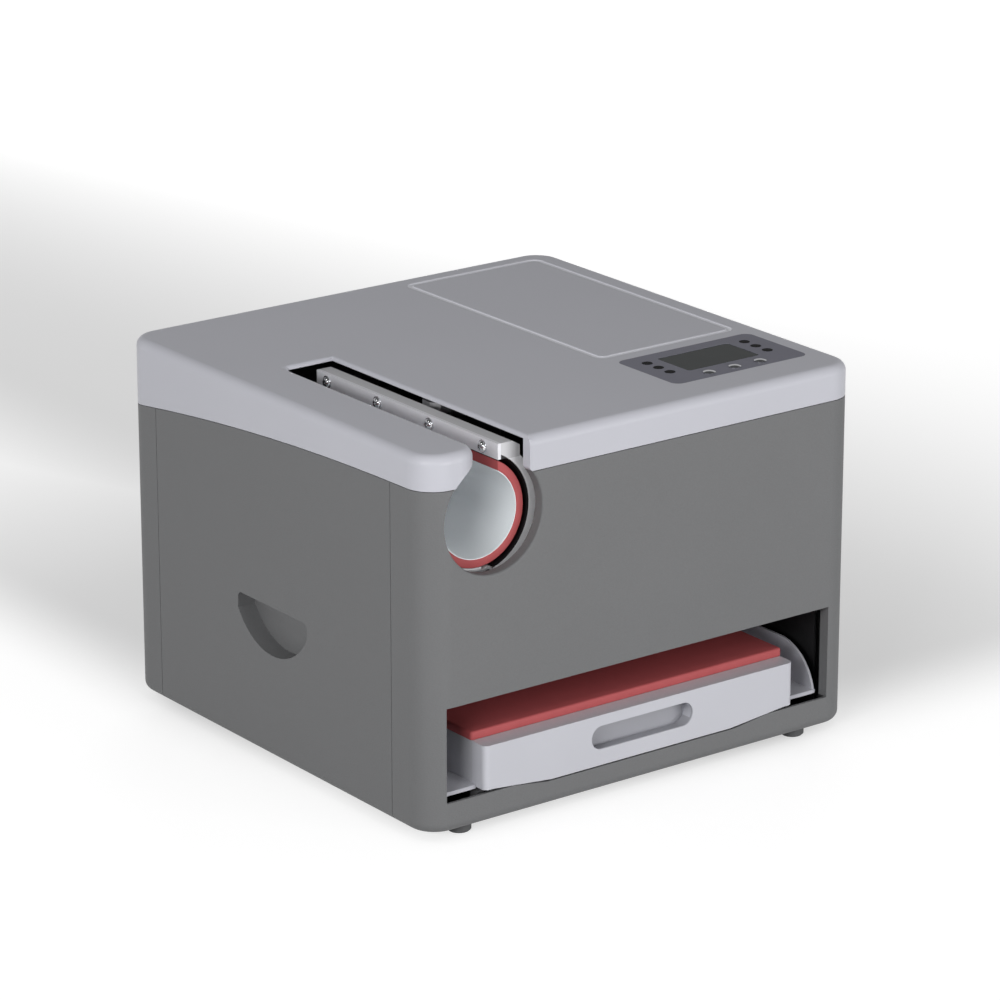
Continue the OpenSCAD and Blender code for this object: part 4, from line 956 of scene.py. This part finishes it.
# ---------------------------------------------------------------------------
# Bronze: sintered bushes with a flange, pressed into the bridge round the posts,
# and the nut that is turned for the press screw. Oil fills the metal's pores.
# ---------------------------------------------------------------------------
bronze = Finish("sintered_bronze", Metallic=1.0)
pores = bronze.noise(bronze.place(), scale=900.0, detail=3.0)
bronze.set("Base Color", bronze.blend(pores, (0.38, 0.25, 0.10), (0.56, 0.40, 0.18)))
bronze.set("Roughness", 0.34 + pores * 0.2)
bronze.on("guide_bushes", "press_nut")

# ---------------------------------------------------------------------------
# Slide bearings: blocks moulded in grey polymer and held below the tray's floor.
# They run on the rods without oil.
# ---------------------------------------------------------------------------
polymer = Finish("bearing_polymer", Specular_IOR_Level=0.4)
flow = polymer.noise(polymer.place(), scale=240.0, detail=3.0)
polymer.set(
    "Base Color", polymer.blend(flow, (0.075, 0.078, 0.085), (0.110, 0.114, 0.122))
)
polymer.set("Roughness", 0.48 + flow * 0.12)
polymer.on("slide_bearings")

# ---------------------------------------------------------------------------
# Gearmotors: die-cast gearboxes with drawn steel cans, in satin dark paint. One is
# bolted to the bridge on four legs, the other to the clamp's bracket.
# ---------------------------------------------------------------------------
motor = Finish("motor_paint", Specular_IOR_Level=0.5)
peel = motor.noise(motor.place(), scale=600.0, detail=2.0)
motor.set(
    "Base Color", motor.blend(peel, (0.050, 0.052, 0.056), (0.075, 0.078, 0.083))
)
motor.set("Roughness", 0.36 + peel * 0.15)
motor.bump(peel, distance=0.0001, strength=0.4)
motor.on("press_gearmotor", "clamp_gearmotor")

# ---------------------------------------------------------------------------
# Mains inlet and switch body: black thermoplastic snap-in parts. The inlet's
# three blades are nickel-plated.
# ---------------------------------------------------------------------------
inlet = Finish("inlet_plastic", Specular_IOR_Level=0.45)
texture = inlet.noise(inlet.place(), scale=700.0, detail=2.0)
low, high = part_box("power_inlet")
middle = (low + high) / 2
blades_half = 0.0083
blades_foot, blades_head = 0.0033, 0.0053
blades_root, blades_tip = 0.0179, 0.0035
across, deep, up = inlet.along(0), inlet.along(1), inlet.along(2)
blades = (across > middle.x - blades_half) * (across < middle.x + blades_half)
blades = blades * (up > middle.z - blades_foot) * (up < middle.z + blades_head)
blades = blades * (deep > high.y - blades_root) * (deep < high.y - blades_tip)
black = inlet.blend(texture, (0.009, 0.009, 0.010), (0.018, 0.018, 0.020))
inlet.set("Base Color", inlet.blend(blades, black, (0.66, 0.65, 0.62)))
inlet.set("Metallic", blades)
inlet.set("Roughness", 0.44 + texture * 0.14 - blades * 0.22)
inlet.bump(texture, distance=0.0001, strength=0.4)
inlet.on("power_inlet", "switch_body")

# ---------------------------------------------------------------------------
# Rocker: semi-gloss key of the mains switch, moulded in black nylon. It snaps on
# two pins in the switch body.
# ---------------------------------------------------------------------------
rocker = Finish("rocker_gloss", Specular_IOR_Level=0.5)
sheen = rocker.noise(rocker.place(), scale=200.0, detail=2.0)
rocker.set(
    "Base Color", rocker.blend(sheen, (0.012, 0.012, 0.013), (0.020, 0.020, 0.022))
)
rocker.set("Roughness", 0.20 + sheen * 0.10)
rocker.on("rocker")

# ---------------------------------------------------------------------------
# Fan: frame and impeller moulded in black glass-filled plastic. The impeller runs
# on a pin in the middle of the frame.
# ---------------------------------------------------------------------------
fan = Finish("fan_plastic", Specular_IOR_Level=0.4)
streak = fan.noise(fan.place(), scale=150.0, detail=4.0)
fan.set("Base Color", fan.blend(streak, (0.014, 0.014, 0.016), (0.030, 0.030, 0.033)))
fan.set("Roughness", 0.46 + streak * 0.14)
fan.on("fan_frame", "fan_rotor")

# ---------------------------------------------------------------------------
# Fan guard: rings and stays of round steel wire, welded to a pressed centre
# plate and powder-coated black.
# ---------------------------------------------------------------------------
guard = Recipe(
    "wire_guard", Centre=tuple, Turn=tuple, Wire=float, Outer_Radius=float,
    Spacing=float, Rings=int, Stays=int, Hub_Radius=float,
)
wire = guard.given("Wire")
reach = guard.given("Outer Radius")
hub = guard.given("Hub Radius")
order = guard.node("GeometryNodeInputIndex")
ring_size = reach - order * guard.given("Spacing")
hoops = guard.node(
    "GeometryNodeInstanceOnPoints",
    inputs={
        "Points": guard.node(
            "GeometryNodeMeshLine",
            inputs={"Count": guard.given("Rings"), "Offset": (0.0, 0.0, 0.0)},
        ),
        "Instance": guard.node(
            "GeometryNodeCurvePrimitiveCircle", inputs={"Resolution": 96, "Radius": 1.0}
        ),
        "Scale": guard.vector(ring_size, ring_size, 1.0),
    },
)
stay_count = guard.given("Stays")
stays = guard.node(
    "GeometryNodeInstanceOnPoints",
    inputs={
        "Points": guard.node(
            "GeometryNodeMeshLine",
            inputs={"Count": stay_count, "Offset": (0.0, 0.0, 0.0)},
        ),
        "Instance": guard.node(
            "GeometryNodeCurvePrimitiveLine",
            inputs={
                "Start": guard.vector(hub * 0.9, 0.0, 0.0),
                "End": guard.vector(reach, 0.0, 0.0),
            },
        ),
        "Rotation": guard.vector(0.0, 0.0, (order + 0.5) * 2 * math.pi / stay_count),
    },
)
paths = guard.node("GeometryNodeJoinGeometry", inputs={0: [hoops, stays]})
wires = guard.node(
    "GeometryNodeCurveToMesh",
    inputs={
        "Curve": guard.node("GeometryNodeRealizeInstances", inputs={0: paths}),
        "Profile Curve": guard.node(
            "GeometryNodeCurvePrimitiveCircle",
            inputs={"Resolution": 10, "Radius": wire * 0.5},
        ),
        "Fill Caps": True,
    },
)
boss = guard.node(
    "GeometryNodeMeshCylinder",
    {"fill_type": "NGON"},
    {"Vertices": 64, "Radius": hub, "Depth": wire * 0.9},
)
welded = guard.node("GeometryNodeJoinGeometry", inputs={0: [wires, boss]})
guard.finish(
    guard.node(
        "GeometryNodeTransform",
        inputs={
            "Geometry": welded,
            "Translation": guard.given("Centre"),
            "Rotation": guard.given("Turn"),
        },
    )
)
low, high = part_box("fan_guard")
middle = (low + high) / 2
wire_size = high.y - low.y
fan_guard = guard.make(
    "fan_wire_guard", [], powder,
    Centre=tuple(middle), Turn=(math.pi / 2, 0.0, 0.0), Wire=wire_size,
    Outer_Radius=(high.x - low.x - wire_size) / 2, Spacing=0.008, Rings=3, Stays=4,
    Hub_Radius=0.0137,
)
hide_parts("fan_guard")
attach(fan_guard, "housing")

# ---------------------------------------------------------------------------
# Solid-state relays: white moulded housings, potted on their base plates. Both are
# screwed to the bridge, which takes their heat away.
# ---------------------------------------------------------------------------
relay = Finish("relay_white", Specular_IOR_Level=0.4)
mould = relay.noise(relay.place(), scale=300.0, detail=2.0)
relay.set("Base Color", relay.blend(mould, (0.62, 0.62, 0.60), (0.70, 0.70, 0.68)))
relay.set("Roughness", 0.45 + mould * 0.12)
relay.on("heater_relays")

# ---------------------------------------------------------------------------
# Studio: a pale paper floor, a soft light surround and soft boxes at the front,
# at the left and behind. The floor's glow is painted darker behind, beside and under
# the machine, as a painted shadow.
# ---------------------------------------------------------------------------
floor_mesh = bpy.data.meshes.new("floor")
reach = 20.0
floor_mesh.from_pydata(
    [(-reach, -reach, 0), (reach, -reach, 0), (reach, reach, 0), (-reach, reach, 0)],
    [],
    [(0, 1, 2, 3)],
)
floor = bpy.data.objects.new("floor", floor_mesh)
bpy.context.scene.collection.objects.link(floor)

paper = Finish("studio_floor")
paper.tree.nodes.remove(paper.shader)
across, deep = paper.along(0), paper.along(1)
# Painted shadow: masks behind, beside and under the machine that dim the floor's glow.
behind = paper.ramp(across, -0.27, -0.13) * (1.0 - paper.ramp(across, 0.25, 1.00))
behind = behind * (1.0 - paper.ramp(deep, 0.35, 1.15)) * paper.ramp(deep, -0.1, 0.2)
beside = paper.ramp(deep, -0.26, -0.10) * (1.0 - paper.ramp(across, 0.3, 1.1))
beside = beside * paper.ramp(across, -0.1, 0.2)
shade = behind.maths("MAXIMUM", behind, beside)
under = paper.ramp(across, -0.23, -0.17) * (1.0 - paper.ramp(across, 0.17, 0.23))
under = under * paper.ramp(deep, -0.225, -0.165)
under = under * (1.0 - paper.ramp(deep, 0.165, 0.225))
sheet = paper.node("ShaderNodeBsdfDiffuse", inputs={"Color": (0.45, 0.45, 0.45, 1.0)})
seen = paper.node("ShaderNodeLightPath", output="Is Camera Ray")
mirrored = paper.node("ShaderNodeLightPath", output="Is Glossy Ray")
through = paper.node("ShaderNodeLightPath", output="Is Transmission Ray")
white = (1.0, 1.0, 1.0, 1.0)
paper_level, shade_depth, under_depth = 0.74, 0.48, 0.28
brightness = (seen + mirrored + through) * paper_level
brightness = brightness * (1.0 - shade * shade_depth) * (1.0 - under * under_depth)
glow = paper.node("ShaderNodeEmission", inputs={"Color": white, "Strength": brightness})
both = paper.node("ShaderNodeAddShader", inputs={0: sheet, 1: glow})
paper.tree.links.new(both.socket, paper.tree.nodes["Material Output"].inputs["Surface"])
paper.on(floor)

world = bpy.data.worlds.new("studio")
bpy.context.scene.world = world
world.use_nodes = True
surround = Graph(world.node_tree)
seen = surround.node("ShaderNodeLightPath", output="Is Camera Ray")
mirrored = surround.node("ShaderNodeLightPath", output="Is Glossy Ray")
through = surround.node("ShaderNodeLightPath", output="Is Transmission Ray")
bearing = surround.node("ShaderNodeTexCoord", output="Generated")
height = surround.node("ShaderNodeSeparateXYZ", inputs={0: bearing}, output=2)
ceiling = surround.node(
    "ShaderNodeMapRange",
    {"interpolation_type": "SMOOTHSTEP"},
    {"Value": height, "From Min": 0.40, "From Max": 0.60},
)
ambient = 0.24
level = ambient + seen * (1.0 - ambient)
level = level + mirrored * (0.28 - ceiling * 0.44) + through * 0.30
background = world.node_tree.nodes["Background"]
background.inputs["Color"].default_value = white
world.node_tree.links.new(level.socket, background.inputs["Strength"])

aim = Vector((0.0, 0.0, 0.16))


def soft_box(name, bearing, height, distance, size, power, mirrored=True):
    """An area lamp aimed at the machine; bearing runs from the front to the left."""
    lamp = bpy.data.lights.new(name, "AREA")
    lamp.shape = "RECTANGLE"
    lamp.size, lamp.size_y = size
    lamp.energy = power
    holder = bpy.data.objects.new(name, lamp)
    holder.visible_glossy = mirrored
    bpy.context.scene.collection.objects.link(holder)
    round_by, up_by = math.radians(bearing), math.radians(height)
    way = Vector(
        (
            -math.sin(round_by) * math.cos(up_by),
            -math.cos(round_by) * math.cos(up_by),
            math.sin(up_by),
        )
    )
    holder.location = aim + way * distance
    holder.rotation_euler = way.to_track_quat("Z", "Y").to_euler()


far, near = 3.2, 2.6
wide, narrow, small = (2.0, 0.7), (1.4, 0.7), (0.4, 0.4)
soft_box("front_fill", bearing=-13.0, height=7.0, distance=far, size=wide, power=48.0)
soft_box("left_fill", bearing=60.0, height=18.0, distance=far, size=narrow, power=44.0)
soft_box("side_fill", bearing=110.0, height=7.0, distance=far, size=wide, power=7.0)
soft_box(
    "back_fill", bearing=220.0, height=4.0, distance=far, size=(2.0, 0.6), power=80.0,
    mirrored=False,
)
soft_box("front_box", bearing=22.0, height=50.0, distance=near, size=small, power=3.0)
soft_box("side_box", bearing=97.0, height=48.0, distance=near, size=small, power=3.0)

bpy.context.scene.view_settings.view_transform = "Standard"
